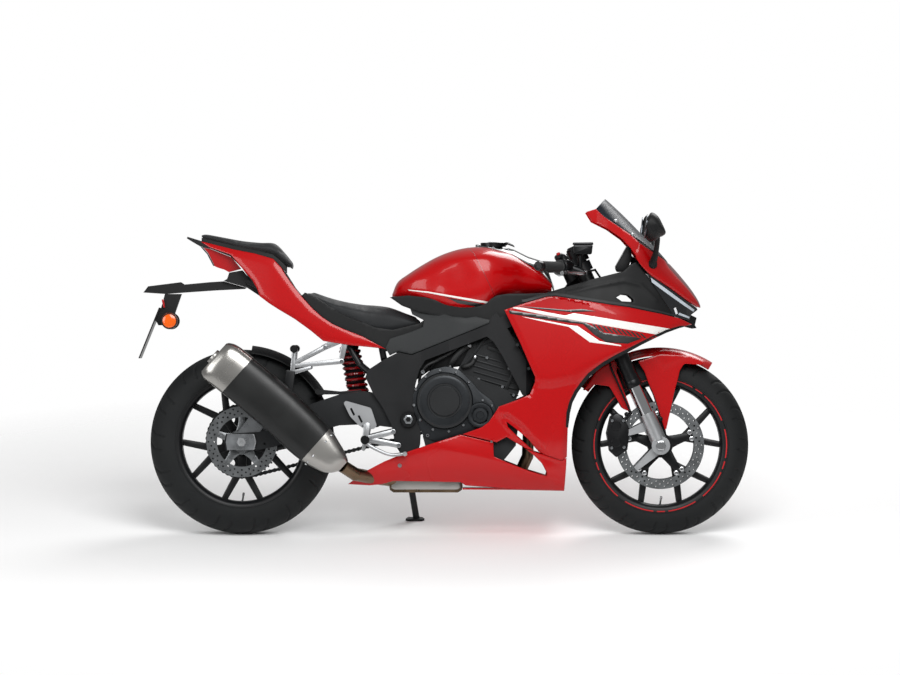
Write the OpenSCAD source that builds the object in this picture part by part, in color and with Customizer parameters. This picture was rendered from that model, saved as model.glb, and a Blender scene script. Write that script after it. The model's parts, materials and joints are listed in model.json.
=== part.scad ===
// Middleweight sport bike with a transverse twin engine, parked on its side stand.
// Bike frame: x forward from the rear axle, y to the rider's left, z up from the ground, in mm.
// Every piece is drawn upright in that frame, and lean() sets the whole machine over on its stand.

/* [Stance] */
// Lean to the left on the side stand, in degrees
lean = 10; // [8:0.5:12]
// Distance between the two axles
wheelbase = 1415; // [1380:5:1450]
// Steering head angle from the vertical, in degrees
rake = 24; // [23:0.5:25]
// Distance from the steering axis forward to the fork legs
fork_offset = 32; // [28:1:36]

/* [Front wheel] */
// Outer radius of the front tyre
front_r = 300; // [296:1:302]
// Half width of the front tyre
front_half = 60; // [56:1:64]
// Radius of the front brake discs
front_disc_r = 148; // [140:1:152]
// Half distance between the front brake discs' middle planes
front_disc_y = 68; // [66:0.5:70]
// Radius of the front axle
front_axle_r = 10; // [8:0.5:12]

/* [Rear wheel] */
// Outer radius of the rear tyre
rear_r = 312; // [306:1:316]
// Half width of the rear tyre
rear_half = 78; // [70:1:79]
// Radius of the rear brake disc
rear_disc_r = 120; // [110:1:124]
// Radius of the rear sprocket over its teeth
sprocket_r = 125; // [115:1:128]
// Distance of the chain's middle plane from the bike's middle plane
chain_y = 92; // [91:0.5:94]
// Radius of the rear axle
rear_axle_r = 10; // [8:0.5:12]

/* [Fork] */
// Half distance between the fork legs
leg_y = 103; // [102:0.5:106]
// Radius of the fork's outer tubes
outer_tube_r = 26; // [24:0.5:27]
// Radius of the fork's chromed sliders
slider_r = 20.5; // [18:0.5:22]
// Height of the fork's top above the front axle, along the fork
fork_length = 722; // [700:2:740]
// Length of the chromed slider that shows
slider_show = 108; // [80:2:120]

/* [Controls] */
// Radius of the handlebar tubes
bar_r = 11; // [10:0.5:12]
// Radius of the grips
grip_r = 16; // [15:0.5:18]
// Half width of the handlebars over their end weights
bar_half = 352; // [330:2:370]

/* [Body] */
// Thickness of the painted and moulded panels
panel = 4; // [3:0.5:5]
// Half width of the fuel tank at its widest
tank_half = 188; // [175:1:195]
// Extra half width of the side fairing
fairing_out = 0; // [-4:1:8]

/* [Exhaust] */
// Radius of the exhaust header pipes
header_r = 19; // [16:0.5:21]
// Depth of the silencer in side view
silencer_depth = 160; // [140:2:170]
// Width of the silencer from side to side
silencer_width = 108; // [95:1:112]

/* [Side stand] */
// Half length of the side stand's foot pad
foot_half = 24; // [20:1:30]
// Angle that the side stand folds through, in degrees
stand_fold = 98; // [90:1:105]

/* [Hidden] */
$fn = 48;
gap = 0.3;                  // seat clearance between pieces
run_gap = 0.05;             // running clearance of a wheel on its axle

front_axle_at = [wheelbase, 0, front_r];
rear_axle_at = [0, 0, rear_r];
// Height of an axle over the floor once the wheel leans on its elliptical tread section
tread_f = 62;               // height of the front tyre's tread arc
tread_r = 80;               // height of the rear tyre's tread arc
function leaned(r, half, arc) = (r - arc) * cos(lean) + sqrt(pow(arc * cos(lean), 2) + pow(half * sin(lean), 2));
lift = leaned(rear_r, rear_half, tread_r) - rear_r * cos(lean);
// The origin lies on the floor under the middle of the whole machine
middle = [682.8, 173.3];
// Bike frame to the frame that the part is stored in
function row(p) = [p[0] - middle[0],
                   p[1] * cos(lean) + p[2] * sin(lean) - middle[1],
                   -p[1] * sin(lean) + p[2] * cos(lean) + lift];
// Stored frame back to the bike frame
function bike(q) = let (y = q[1] + middle[1], z = q[2] - lift)
  [q[0] + middle[0], y * cos(lean) - z * sin(lean), y * sin(lean) + z * cos(lean)];

module lean() translate([-middle[0], -middle[1], lift]) rotate([-lean, 0, 0]) children();
module pair() { children(); mirror([0, 1, 0]) children(); }
// A side-view outline extruded between two distances from the middle plane
module side(y0, y1) translate([0, y1, 0]) rotate([90, 0, 0]) linear_extrude(y1 - y0) children();
// A plan-view outline extruded between two heights
module plan(z0, z1) translate([0, 0, z0]) linear_extrude(z1 - z0) children();
// A round bar between two points
module bar(p, q, r) {
  d = q - p;
  h = norm(d);
  translate(p) rotate([0, acos(d[2] / h), atan2(d[1], d[0])]) cylinder(r = r, h = h);
}
// A round bar through several points, with round joints
module rod(pts, r) {
  for (i = [0 : len(pts) - 2]) bar(pts[i], pts[i + 1], r);
  for (i = [1 : 1 : len(pts) - 2]) translate(pts[i]) sphere(r = r + 0.6);
}
// A disc or ring about the y axis
module disc(r, y0, y1) translate([0, y1, 0]) rotate([90, 0, 0]) cylinder(r = r, h = y1 - y0);
// Turns a profile of [y, r] points round a wheel's axle
module turned(points) rotate([-90, 0, 0]) rotate_extrude() polygon([for (p = points) [p[1], p[0]]]);
module at(p) translate(p) children();
// Closed solid through rings of points; point i of a ring faces point n-1-i
module loft(rings) {
  n = len(rings[0]);
  m = len(rings);
  polyhedron(
    points = [for (r = rings) each r],
    faces = concat(
      [for (i = [0 : n / 2 - 2]) each [[i, i + 1, n - 2 - i], [i, n - 2 - i, n - 1 - i]]],
      [for (j = [0 : m - 2]) for (i = [0 : n - 1]) let (a = j * n + i, b = j * n + (i + 1) % n)
        each [[a, a + n, b + n], [a, b + n, b]]],
      [for (i = [0 : n / 2 - 2]) let (o = (m - 1) * n)
        each [[o + i, o + n - 2 - i, o + i + 1], [o + i, o + n - 1 - i, o + n - 2 - i]]]));
}
// Catmull-Rom value between b and c; works on numbers, points and lists of points
function curve(a, b, c, d, t) =
  b + (c - a) * (t / 2) + (a * 2 - b * 5 + c * 4 - d) * (t * t / 2) + (b * 3 - a - c * 3 + d) * (t * t * t / 2);
// Rows refined to k steps between each two, each row a list of numbers or points
function flow(rows, k) = let (n = len(rows))
  [for (i = [0 : n - 2]) for (s = [0 : k - 1])
     curve(rows[max(i - 1, 0)], rows[i], rows[i + 1], rows[min(i + 2, n - 1)], s / k), rows[n - 1]];
function flip(p) = [p[0], -p[1], p[2]];
function back(list) = [for (i = [len(list) - 1 : -1 : 0]) list[i]];
// Ring of a body that is the same on both sides: half is its right side, from top to bottom
function whole(half) = concat(half, [for (p = back(half)) flip(p)]);
// Ring of a thin panel: a row of outer points and the same row moved in
function skin(row, inward) = concat(row, [for (i = [len(row) - 1 : -1 : 0]) row[i] + inward[i]]);
// Value of a table of [x, v] rows at x
function at_x(t, x) = lookup(x, t);
// Smooth step between two values
function ease(t) = let (u = min(max(t, 0), 1)) u * u * (3 - 2 * u);

// ---------------------------------------------------------------- wheels

// Tyre section: an elliptical tread arc down to beads that sit inside the rim's flanges
module tyre(r, half, arc, bead_half) {
  base = r - arc;
  color("#202223") turned(concat(
    [for (a = [0 : 12 : 180]) [half * cos(a), base + arc * sin(a)]],
    [[-bead_half + gap, 232.2], [-bead_half + gap, 218 + gap], [bead_half - gap, 218 + gap], [bead_half - gap, 232.2]]));
}
// Cast wheel: rim, hub and five Y-shaped spokes; first is the angle of the first Y
module cast_wheel(bead_half, hub_r, hub_half, bore, first) {
  spoke_t = 26;
  fork_r = 92;
  color("#1d1f21") difference() {
    union() {
      turned([[-bead_half - 6, 231], [-bead_half, 231], [-bead_half, 218], [bead_half, 218],
              [bead_half, 231], [bead_half + 6, 231], [bead_half + 6, 212], [bead_half - 14, 203],
              [-bead_half + 14, 203], [-bead_half - 6, 212]]);
      disc(hub_r, -hub_half, hub_half);
      for (i = [0 : 4]) rotate([0, -(first + i * 72), 0]) side(-spoke_t / 2, spoke_t / 2) union() {
        polygon([[hub_r - 8, -15], [fork_r + 6, -11], [fork_r + 6, 11], [hub_r - 8, 15]]);
        for (s = [-1, 1])
          polygon([[fork_r - 10, s * 3], [fork_r + 2, s * 13], [206 * cos(18) - 2, s * (206 * sin(18) + 4)],
                   [206 * cos(18) + 2, s * (206 * sin(18) - 4)]]);
      }
    }
    disc(bore, -hub_half - 1, hub_half + 1);
  }
}
module brake_disc(r, inner, y0, y1, hub_r, arms, arm_first, bore) color("#8f9294") difference() {
  union() {
    difference() {
      disc(r, y0, y1);
      disc(inner, y0 - 1, y1 + 1);
    }
    for (i = [0 : arms - 1]) rotate([0, -(arm_first + i * 360 / arms), 0])
      side(y0 + 0.4, y1 - 0.4) polygon([[hub_r - 4, -20], [inner + 4, -9], [inner + 4, 9], [hub_r - 4, 20]]);
    disc(hub_r, y0, y1);
  }
  disc(bore, y0 - 1, y1 + 1);
}
front_hub_r = 34;
front_hub_half = front_disc_y - 2.5 - gap;
module front_wheel() at(front_axle_at) cast_wheel(44, front_hub_r, front_hub_half, front_axle_r + run_gap, 18);
module front_tyre() at(front_axle_at) tyre(front_r, front_half, tread_f, 44);
module front_discs() at(front_axle_at) pair()
  brake_disc(front_disc_r, 114, front_disc_y - 2.5, front_disc_y + 2.5, 34, 5, 18, front_axle_r + 5);
rear_hub_half = 72;
rear_disc_y = 80;
module rear_wheel() at(rear_axle_at) cast_wheel(62, 44, rear_hub_half, rear_axle_r + run_gap, 54);
module rear_tyre() at(rear_axle_at) tyre(rear_r, rear_half, tread_r, 62);
module rear_disc() at(rear_axle_at) mirror([0, 1, 0]) difference() {
  union() {
    brake_disc(rear_disc_r, 84, rear_disc_y - 2.5, rear_disc_y + 2.5, 60, 5, 90, rear_axle_r + 5);
    color("#8f9294") disc(40, rear_hub_half + gap, rear_disc_y);
  }
  disc(rear_axle_r + 5, rear_hub_half - 1, rear_disc_y + 3);
}
teeth = 48;
module rear_sprocket() at(rear_axle_at) color("#26282a") difference() {
  union() {
    side(chain_y - 2.9, chain_y + 2.9) difference() {
      polygon([for (i = [0 : teeth - 1]) for (k = [-1, -0.35, 0.35, 1]) let (a = (i + k / 2) * 360 / teeth,
               r = abs(k) < 0.5 ? sprocket_r : sprocket_r - 9) [r * cos(a), r * sin(a)]]);
      for (i = [0 : 5]) rotate(i * 60) translate([84, 0]) circle(r = 15);
    }
    disc(58, rear_hub_half + gap, chain_y);
  }
  disc(rear_axle_r + 5, rear_hub_half - 1, chain_y + 4);
}

// ---------------------------------------------------------------- front fork and steering

// Fork frame: origin at the front axle, z up along the fork, x ahead of it
module fork_frame() at(front_axle_at) rotate([0, -rake, 0]) children();
function from_fork(p) = front_axle_at + [p[0] * cos(rake) - p[2] * sin(rake), p[1], p[0] * sin(rake) + p[2] * cos(rake)];
slider_top = 226;
slider_foot = slider_top - slider_show;
top_clamp_s = 676;
low_clamp_s = 478;
clamp_t = 26;
stem_r = 14;
module fork_tubes() fork_frame() pair() at([0, leg_y, 0]) color("#17181a") {
  at([0, 0, slider_top]) cylinder(r = outer_tube_r, h = fork_length - slider_top);
  at([0, 0, slider_top + 8]) cylinder(r = outer_tube_r + 2, h = 26);
  at([0, 0, fork_length - gap]) cylinder(r = 17, h = 9);
}
module slider_pair() fork_frame() pair() color("#3a3d40") difference() {
  union() {
    at([0, leg_y, slider_foot - 4]) cylinder(r = slider_r, h = slider_show + 4 - gap);
    at([0, leg_y, 20]) cylinder(r = foot_r, h = slider_foot - 20);
    at([0, leg_y, 0]) rotate([90, 0, 0]) cylinder(r = 31, h = 44, center = true);
    // lugs that carry the radial brake caliper, behind the leg
    at([0, leg_y, 0]) side(-17, -5) polygon([[-20, 96], [-88, 92], [-96, 76], [-20, 62]]);
    at([0, leg_y, 0]) side(-17, -5) polygon([[-15, 10], [-112, -30], [-108, -46], [-8, -24]]);
  }
  at([0, leg_y, 0]) rotate([90, 0, 0]) cylinder(r = front_axle_r + gap, h = 60, center = true);
}
axle_half = leg_y + 26;
module front_axle() at(front_axle_at) color("#b9bcc0") difference() {
  union() {
    disc(front_axle_r, -axle_half, axle_half);
    pair() disc(15, axle_half - 6, axle_half);
    // spacers between the hub and the fork's feet
    pair() disc(14, front_disc_y + 2.5 + gap, leg_y - 22 - gap);
  }
  disc(6, -axle_half - 1, axle_half + 1);
}
// Outline of a clamp seen along the fork: a web from leg to leg, and the stem's boss behind it
module clamp(hole) difference() {
  hull() {
    for (s = [-1, 1]) translate([0, s * leg_y]) circle(r = outer_tube_r + 11);
    translate([-fork_offset, 0]) circle(r = 30);
  }
  for (s = [-1, 1]) translate([0, s * leg_y]) circle(r = outer_tube_r + gap);
  translate([-fork_offset + 62, 0]) circle(r = 38);
  translate([-fork_offset, 0]) circle(r = hole);
}
module triple_clamps() fork_frame() color("#222426") {
  at([0, 0, top_clamp_s]) linear_extrude(20) clamp(1);
  at([0, 0, low_clamp_s]) linear_extrude(clamp_t) clamp(8);
  at([-fork_offset, 0, low_clamp_s]) difference() {
    cylinder(r = stem_r, h = top_clamp_s - low_clamp_s);
    at([0, 0, -1]) cylinder(r = 8, h = 80);
  }
  at([-fork_offset, 0, top_clamp_s + 20]) cylinder(r = 16, h = 10, $fn = 6);
}

// Handlebars: two clip-on tubes, swept back and down from clamps round the fork tubes
bar_in = from_fork([8, leg_y, 655]);
bar_end = [1010, bar_half - 14, 903];
bar_dir = (bar_end - bar_in) / norm(bar_end - bar_in);
bar_len = norm(bar_end - bar_in);
function on_bar(d) = bar_end - bar_dir * d;
module handlebars() pair() color("#1c1d1f") difference() {
  union() {
    bar(on_bar(bar_len - 34), bar_end, bar_r);
    fork_frame() at([0, leg_y, 640]) cylinder(r = outer_tube_r + 9, h = 32);
    bar(bar_end + bar_dir * gap, bar_end + bar_dir * 26, 15);
    bar(bar_end - bar_dir, bar_end + bar_dir * 2, 6);
  }
  fork_frame() at([0, leg_y, 600]) cylinder(r = outer_tube_r + gap, h = 100);
  // threaded hole for a bar-end weight or mirror
  bar(bar_end + bar_dir * 4, bar_end + bar_dir * 40, 3);
}
grip_len = 120;
module grips() pair() color("#151617") difference() {
  union() {
    bar(bar_end - bar_dir * grip_len, bar_end - bar_dir * 1, grip_r);
    bar(bar_end - bar_dir * grip_len, bar_end - bar_dir * (grip_len - 6), grip_r + 4);
  }
  bar(bar_end - bar_dir * (grip_len + 5), bar_end + bar_dir * 5, bar_r + run_gap * 4);
}
// Switch housings, lever brackets, levers and the brake reservoir
fwd = [cos(20), 0, -sin(20)];   // straight ahead of the grip, a little down
master_tip = on_bar(grip_len + 56) + fwd * 52 + [0, -6, 0];
lever_out = 62;             // distance of a lever in front of its grip
module hand_controls() {
  for (s = [0, 1]) mirror([0, s, 0]) color("#1a1b1d") {
    difference() {
      union() {
        bar(on_bar(grip_len + 42), on_bar(grip_len + gap), 25);
        bar(on_bar(grip_len + 68), on_bar(grip_len + 43), 18);
        bar(on_bar(grip_len + 56), master_tip, 12);
        // reservoir of the front brake, on the right
        if (s == 1) {
          at(on_bar(grip_len + 72) + [40, 0, 62]) cube([62, 44, 42], center = true);
          at(on_bar(grip_len + 72) + [30, 0, -12]) cylinder(r = 8, h = 56);
        }
      }
      bar(on_bar(grip_len + 80), on_bar(grip_len - 5), bar_r + gap);
    }
  }
  for (s = [0, 1]) mirror([0, s, 0]) color("#a9acaf")
    rod([on_bar(grip_len + 56) + fwd * 59.2 + [0, -4, 0], on_bar(grip_len + 20) + fwd * (lever_out + 8),
         on_bar(60) + fwd * lever_out, on_bar(8) + fwd * (lever_out + 6)], 6);
}
module brake_hoses() color("#141415") {
  rod([flip(master_tip) + fwd * 2.4, from_fork([38, -126, 632]), from_fork([50, -92, 570]), from_fork([52, -40, 500]), from_fork([50, 0, 462])], 3.6);
  fork_frame() pair() rod([[50, 0.2, 462], [44, 40, 440], [-8, 60, 404], [-40, 84, 360], [-47, 96, 300], [-47, 100, 140], [-80, 96, 124], [-96, 90, 112]], 3.6);
}
// Radial brake caliper that straddles its disc behind the fork leg
module calipers() at(front_axle_at) pair() color("#8a6a2c") difference() {
  side(46, 98) polygon([[-169, 96], [-150, 112], [-128, 100], [-104, 54], [-112, -14], [-150, -40], [-172, -20], [-182, 40]]);
  side(front_disc_y - 7.5, front_disc_y + 7.5) circle(r = front_disc_r + 6);
  side(82, 99) polygon([[-100, 120], [-60, -60], [-118, -60], [-120, 10], [-119.2, 56], [-134, 110]]);
}
module front_brakes() {
  calipers();
  brake_hoses();
}
// Mudguard: an arch over the tyre with a cheek on either side
foot_r = 27;
lug_x = sqrt(foot_r * foot_r - pow(leg_y - 80, 2)) + gap + 0.2;
module front_mudguard() at(front_axle_at) color("#b80d10") difference() {
  mudguard_shell();
  // room for the outer fork tubes
  pair() rotate([0, -rake, 0]) at([0, leg_y, 200]) cylinder(r = outer_tube_r + 1.5, h = 300);
}
module mudguard_shell() {
  rotate([-90, 0, 0]) rotate([0, 0, -147]) rotate_extrude(angle = 87) polygon(concat(
    [for (y = [-78 : 15.6 : 78]) [331 - 26 * pow(y / 80, 2), y]],
    [for (y = [78 : -15.6 : -78]) [327 - 26 * pow(y / 80, 2), y]]));
  pair() side(76, 80) {
    polygon([[-77, 284], [-55, 250], [-40, 208], [-22, 170], [-2, 106], [14, 52], [20, 56], [49, 190], [58, 222],
             [65, 253], [80, 276], [140, 272], [150, 282], [100, 302], [0, 308]]);
    polygon([[-104, 283], [-159, 287], [-214, 254], [-262, 184], [-246, 190], [-221, 206], [-173, 199], [-130, 126],
             [-114, 117], [-100, 117], [-105, 135], [-150, 253], [-132, 285]]);
  }
  // lugs that hold the cheeks to the fork feet
  pair() rotate([0, -rake, 0]) side(76, 80) {
    polygon([[lug_x, 72], [40, 72], [44, 112], [lug_x, 112]]);
    polygon([[-lug_x, 92], [-lug_x, 114], [-44, 152], [-60, 152], [-50, 118]]);
  }
}

// ---------------------------------------------------------------- frame and running gear

arm_in = 104;
arm_out = 130;
pivot = [563, 0, 388];
// Middle line of the steering head, measured from the front axle along the fork
module head_tube(r) fork_frame() at([-fork_offset, 0, low_clamp_s + clamp_t + 3]) cylinder(r = r, h = top_clamp_s - low_clamp_s - clamp_t - 6);
module frame_side() intersection() {
  side(20, 200) union() {
    polygon([[1150, 872], [1126, 862], [1075, 822], [960, 778], [837, 712], [700, 656], [574, 605], [529, 615],
             [480, 590], [428, 556], [418, 531], [444, 476], [476, 430], [506, 370], [520, 300], [540, 268], [590, 268],
             [602, 300], [606, 391], [588, 450], [585, 500], [600, 556], [620, 588], [740, 634], [860, 681],
             [960, 722], [1060, 752], [1150, 770]]);
    polygon([[800, 690], [860, 749], [900, 690], [989, 535], [970, 477], [951, 467], [876, 610], [850, 650]]);
  }
  plan(200, 900) polygon([[1160, 24], [1120, 52], [1040, 120], [960, 160], [860, 172], [700, 166], [606, 150], [400, 150],
                          [400, 132], [606, 132], [700, 142], [860, 146], [950, 136], [1030, 98], [1105, 30], [1120, 20], [1160, 20]]);
}
shock_top = [350, 86, 690];
rail = [[590, 96, 606], [470, 92, 640], [350, 86, 690], [200, 72, 768], [20, 48, 856]];
brace = [[450, 140, 530], [400, 104, 572], [322, 86, 702]];
// Seat rails, their braces and cross tubes; play is the clearance round them
module seat_rails(play) {
  pair() rod(rail, 12 + play);
  pair() rod(brace, 10 + play);
  for (x = [[470, 92, 640], shock_top, [200, 72, 768], [20, 48, 856]]) bar(x, flip(x), 9 + play);
}
module main_frame() color("#1b1c1e") {
  difference() {
    union() {
      pair() frame_side();
      head_tube(34);
      // plates that join the head to the two spars
      side(-26, 26) polygon([[1166, 770], [1120, 768], [1060, 790], [1110, 860], [1130, 880]]);
      for (p = [[500, 575], [560, 285]]) at([p[0], 0, p[1]]) disc(15, -140, 140);
    }
    fork_frame() at([-fork_offset, 0, 400]) cylinder(r = stem_r + run_gap, h = 400);
    at(pivot) disc(10, -160, 160);
  }
  at(pivot) disc(9.7, -152, 152);
  at(pivot) pair() disc(18, 150.3, 160);
  // tank cradle between the spars
  at([930, 0, 740]) disc(12, -152, 152);
  side(-14, 14) polygon([[918, 736], [942, 736], [942, 797.9], [918, 793.1]]);
  // rubber stops under the rider's seat
  pair() bar([400, 88, 670], [400, 88, 691.8], 8);
  pair() bar([300, 84, 718], [300, 84, 738.4], 8);
  // stays that carry the side fairings
  for (p = [[930, 640], [968, 560]]) pair() bar([p[0], 140, p[1]], [p[0], fair_y(p[0], p[1]) - panel - 0.7, p[1]], 5);
  pair() bar([1090, 60, 782], [1090, fair_y(1090, 782) - panel - 0.8, 782], 6);
  seat_rails(0);
  pair() bar([470, 92, 640], [480, 138, 590], 10);
  side_stand_lug();
}
module swingarm() color("#2a2c2e") difference() {
  union() {
    pair() side(arm_in, arm_out) union() {
      polygon([[-52, 284], [-58, 312], [-52, 340], [60, 346], [150, 392], [235, 440], [330, 472], [411, 484], [480, 468],
               [545, 432], [596, 398], [594, 366], [560, 352], [500, 362], [420, 372], [330, 368], [230, 340], [110, 296], [60, 286]]);
    }
    at([452, 0, 385]) disc(24, -arm_in - 1, arm_in + 1);
    side(-15, 15) polygon([[390.3, 416.9], [417.7, 422.3], [466, 402], [452, 372], [430, 384]]);
    at(pivot) disc(24, -arm_in - 1, arm_in + 1);
  }
  at(pivot) disc(10, -200, 200);
  at(rear_axle_at) disc(rear_axle_r + gap, -200, 200);
  for (s = [-1, 1]) at([170, s * (arm_out + 3), 0]) side(-5, 5) polygon([[-60, 345], [60, 380], [60, 400], [-60, 360]]);
  // threaded holes for paddock-stand bobbins
  for (s = [-1, 1]) at([78, s * (arm_out - 10), 306]) disc(4, -12, 12);
}
module rear_axle() {
  color("#b4b7ba") at(rear_axle_at) difference() {
    union() {
      disc(rear_axle_r, -148, 148);
      pair() disc(17, 138.5, 149);
      disc(16, chain_y + 2.9 + gap, arm_in - gap);
      mirror([0, 1, 0]) disc(16, rear_disc_y + 2.5 + gap, rear_disc_y + 7);
      pair() at([-4, 0, 0]) side(arm_out + gap, 139) polygon([[-44, -27], [-48, 0], [-44, 27], [44, 27], [50, 0], [44, -27]]);
    }
    disc(5, -160, 160);
  }
  // rear caliper on its hanger, inside the right arm
  color("#1c1d1f") at(rear_axle_at) mirror([0, 1, 0]) difference() {
    union() {
      side(rear_disc_y + 8, arm_in - gap) polygon([[-22, -18], [-22, 22], [60, 130], [104, 146], [140, 110], [88, 70], [24, -18]]);
      side(60, arm_in - gap) polygon([[60, 128], [96, 158], [150, 116], [120, 84], [88, 88]]);
    }
    side(rear_disc_y - 7.5, rear_disc_y + 7.5) circle(r = rear_disc_r + 8);
    disc(rear_axle_r + gap, 0, 200);
  }
}
module shock_absorber() {
  foot = [400, 0, 440];
  top = [shock_top[0], 0, shock_top[2]];
  h = norm(top - foot) - 9.5;
  at(foot) rotate([0, 90 - atan2(top[2] - foot[2], top[0] - foot[0]), 0]) color("#7a1c1c") rotate_extrude() polygon(concat(
    [[0, -20], [14, -20], [14, 16], [30, 16], [30, 24]],
    [for (i = [0 : 19]) [i % 2 == 0 ? 36 : 28, 30 + i * 8]],
    [[32, 190], [32, 200], [16, 206], [16, h], [0, h]]));
}
sprocket_front = [652, 392];
sprocket_hub = 32.5;
module chain() color("#3b3d3f") {
  rr = sprocket_r - 3;
  fr = sprocket_hub + 7.4;
  for (s = [-1, 1]) at([0, chain_y + s * 6.4, 0]) side(-1.8, 1.8) difference() {
    chain_line(rr + 5, fr + 5);
    chain_line(rr - 7, fr - 7);
  }
  // pins along the two straight runs
  for (i = [1 : 13]) {
    t = 0.2 + i * 0.052;
    at([sprocket_front[0] * t, chain_y, rear_r + rr + (sprocket_front[1] + fr - rear_r - rr) * t]) disc(4, -8, 8);
    at([sprocket_front[0] * t, chain_y, rear_r - rr + (sprocket_front[1] - fr - rear_r + rr) * t - 1]) disc(4, -8, 8);
  }
}
module chain_line(rr, fr) union() {
  translate([0, rear_r]) circle(r = rr, $fn = 72);
  translate([sprocket_front[0], sprocket_front[1]]) circle(r = fr);
  polygon([[9, rear_r + rr - 0.2], [0, rear_r], [-rr * 0.25, rear_r - rr * 0.967], [sprocket_front[0] + fr * 0.25, sprocket_front[1] - fr * 0.96],
           [sprocket_front[0], sprocket_front[1]], [sprocket_front[0], sprocket_front[1] + fr]]);
}
module rear_hugger() color("#1a1b1c") {
  at(rear_axle_at) rotate([-90, 0, 0]) rotate([0, 0, -84]) rotate_extrude(angle = 54) polygon(concat(
    [for (y = [-79 : 15.8 : 79]) [327 - 24 * pow(y / 80, 2), y]],
    [for (y = [79 : -15.8 : -79]) [323.5 - 24 * pow(y / 80, 2), y]]));
  pair() side(77, arm_in + 16) polygon([[248, 478], [256, 472], [330, 472.5], [404, 483.4], [404, 488], [330, 481], [248, 489]]);
}

// ---------------------------------------------------------------- engine and exhaust

clutch_at = [685, 451];
crank_at = [805, 402];
module engine() color("#1d1e20") {
  difference() {
    union() {
      side(-150, 78) polygon([[612, 330], [630, 262], [700, 245], [880, 245], [925, 300], [938, 400], [900, 486], [790, 528],
                              [700, 560], [630, 548], [612, 470]]);
      side(77, 150) polygon([[706, 300], [730, 262], [880, 258], [925, 300], [938, 400], [900, 486], [790, 528], [716, 540], [706, 470]]);
      side(-118.8, 118.8) polygon([[716, 530], [920, 440], [968, 560], [985, 612], [900, 680], [830, 664], [776, 640]]);
      side(-96, 96) polygon([[776, 630], [980, 600], [960, 668], [900, 700], [820, 700], [790, 664]]);
    }
  }
  // output shaft and its sprocket
  at([sprocket_front[0], 0, sprocket_front[1]]) disc(sprocket_hub, 78.3, 98);
  // clutch cover, pulse cover and generator cover
  color("#26282a") {
    at([clutch_at[0], 0, clutch_at[1]]) mirror([0, 1, 0]) {
      disc(92, 150.3, 172);
      disc(50, 172, 178);
    }
    at([crank_at[0], 0, crank_at[1]]) mirror([0, 1, 0]) disc(38, 150.3, 166);
    at([crank_at[0], 0, crank_at[1]]) disc(78, 150.3, 176);
    side(102.5, 116) polygon([[624, 330], [700, 318], [705, 460], [640, 470], [616, 430]]);
    bar([700, 100, 440], [706, 112, 440], 8);
  }
}
module radiator() color("#2b2d2f") {
  side(-158, 158) polygon([[1004, 372], [1040, 366], [1070, 600], [1036, 606]]);
  pair() side(158, 172) polygon([[998, 366], [1046, 360], [1076, 606], [1030, 612]]);
  pair() bar([984.4, 134, 519.9], [1028, 134, 506], 6);
}
module exhaust_headers() color("#6f665c") {
  for (y = [-46, 46])
    rod([[976.8, y, 585.9], [995.8, y, 579.7], [972, y, 400], [966, y * 0.95, 262], [940, y * 0.85, 206],
         [830, y * 0.5, 190], [742, y * 0.5, 190]], header_r);
  side(-88, 88) polygon([[500, 150], [512, 141], [730, 141], [744, 150], [744, 226], [520, 226], [500, 215]]);
  rod([[512, -70, 182], [440, -110, 192], [384, -160, 204], [342, -silencer_y, 232]], 22);
}
silencer_y = 194;
// Stations along the silencer: x, z, half depth in side view, half width
can = [[345, 232, 24, 24], [325, 240, 42, 40], [296, 262, 58, 48], [236, 318, 76, 52], [114, 432, 80, 54],
       [-25, 548, 80, 54], [-68, 580, 79, 52], [-86, 594, 70, 44]];
function can_ring(c, k) = [for (i = [0 : 15]) let (a = (i + 0.5) * 22.5, ca = cos(a), sa = sin(a), e = 0.75,
  n = sign(ca) * pow(abs(ca), e) * (c[2] - k) * silencer_depth / 160,
  w = sign(sa) * pow(abs(sa), e) * (c[3] - k) * silencer_width / 108)
  [c[0] + 0.667 * n, -silencer_y - w, c[1] + 0.745 * n]];
module silencer() {
  color("#242526") loft(back([for (c = can) can_ring(c, 0)]));
  color("#9a9a97") at([-82, -silencer_y, 590]) rotate([0, -48, 0]) difference() {
    cylinder(r = 26, h = 22);
    at([0, 0, 12]) cylinder(r = 21, h = 20);
  }
  color("#3a3b3c") side(-silencer_y + silencer_width / 2 - 14, -hanger_out - gap) polygon([[152, 556], [182, 550], [172, 470], [140, 470]]);
}

// ---------------------------------------------------------------- seats, tank and tail

function hoop(x, w, zt, zb, e, k) = [for (i = [0 : k - 1]) let (a = 6 + i * 168 / (k - 1), c = cos(a))
  [x, -w * pow(sin(a), e), (zt + zb) / 2 + (zt - zb) / 2 * sign(c) * pow(abs(c), e)]];
// x, half width, top, bottom, squareness
tank_rows = [[506, 30, 812, 800, 0.8], [526, 78, 852, 797, 0.75], [561, 112, 879, 790, 0.7], [604, 138, 907, 776, 0.7],
             [652, 158, 933, 761, 0.66], [700, 176, 953, 746, 0.66], [756, 187, 968, 738, 0.64], [820, 188, 972, 748, 0.64],
             [868, 172, 962, 788, 0.66], [910, 142, 952, 792, 0.7], [950, 112, 932, 800, 0.75], [1000, 96, 900, 806, 0.8], [1050, 78, 850, 812, 0.8]];
module fuel_tank() color("#b80d10") difference() {
  loft([for (r = tank_rows) whole(hoop(r[0], r[1] * tank_half / 188, r[2], r[3], r[4], 9))]);
  at([cap_at[0], 0, 940]) cylinder(r = 40, h = 60);
  loft([for (r = cover_rows) skin([for (t = [1 : -0.25 : -1]) [r[0] + (r[0] > 1000 ? 8 : 0), r[1] * t * 1.01, r[2] - r[3] * t * t + 18]],
                                  [for (t = [1 : -0.25 : -1]) [r[0] > 1000 ? -12.6 : 0, 0, -22.6]])]);
}
cap_at = [850, 0, 978];
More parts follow.
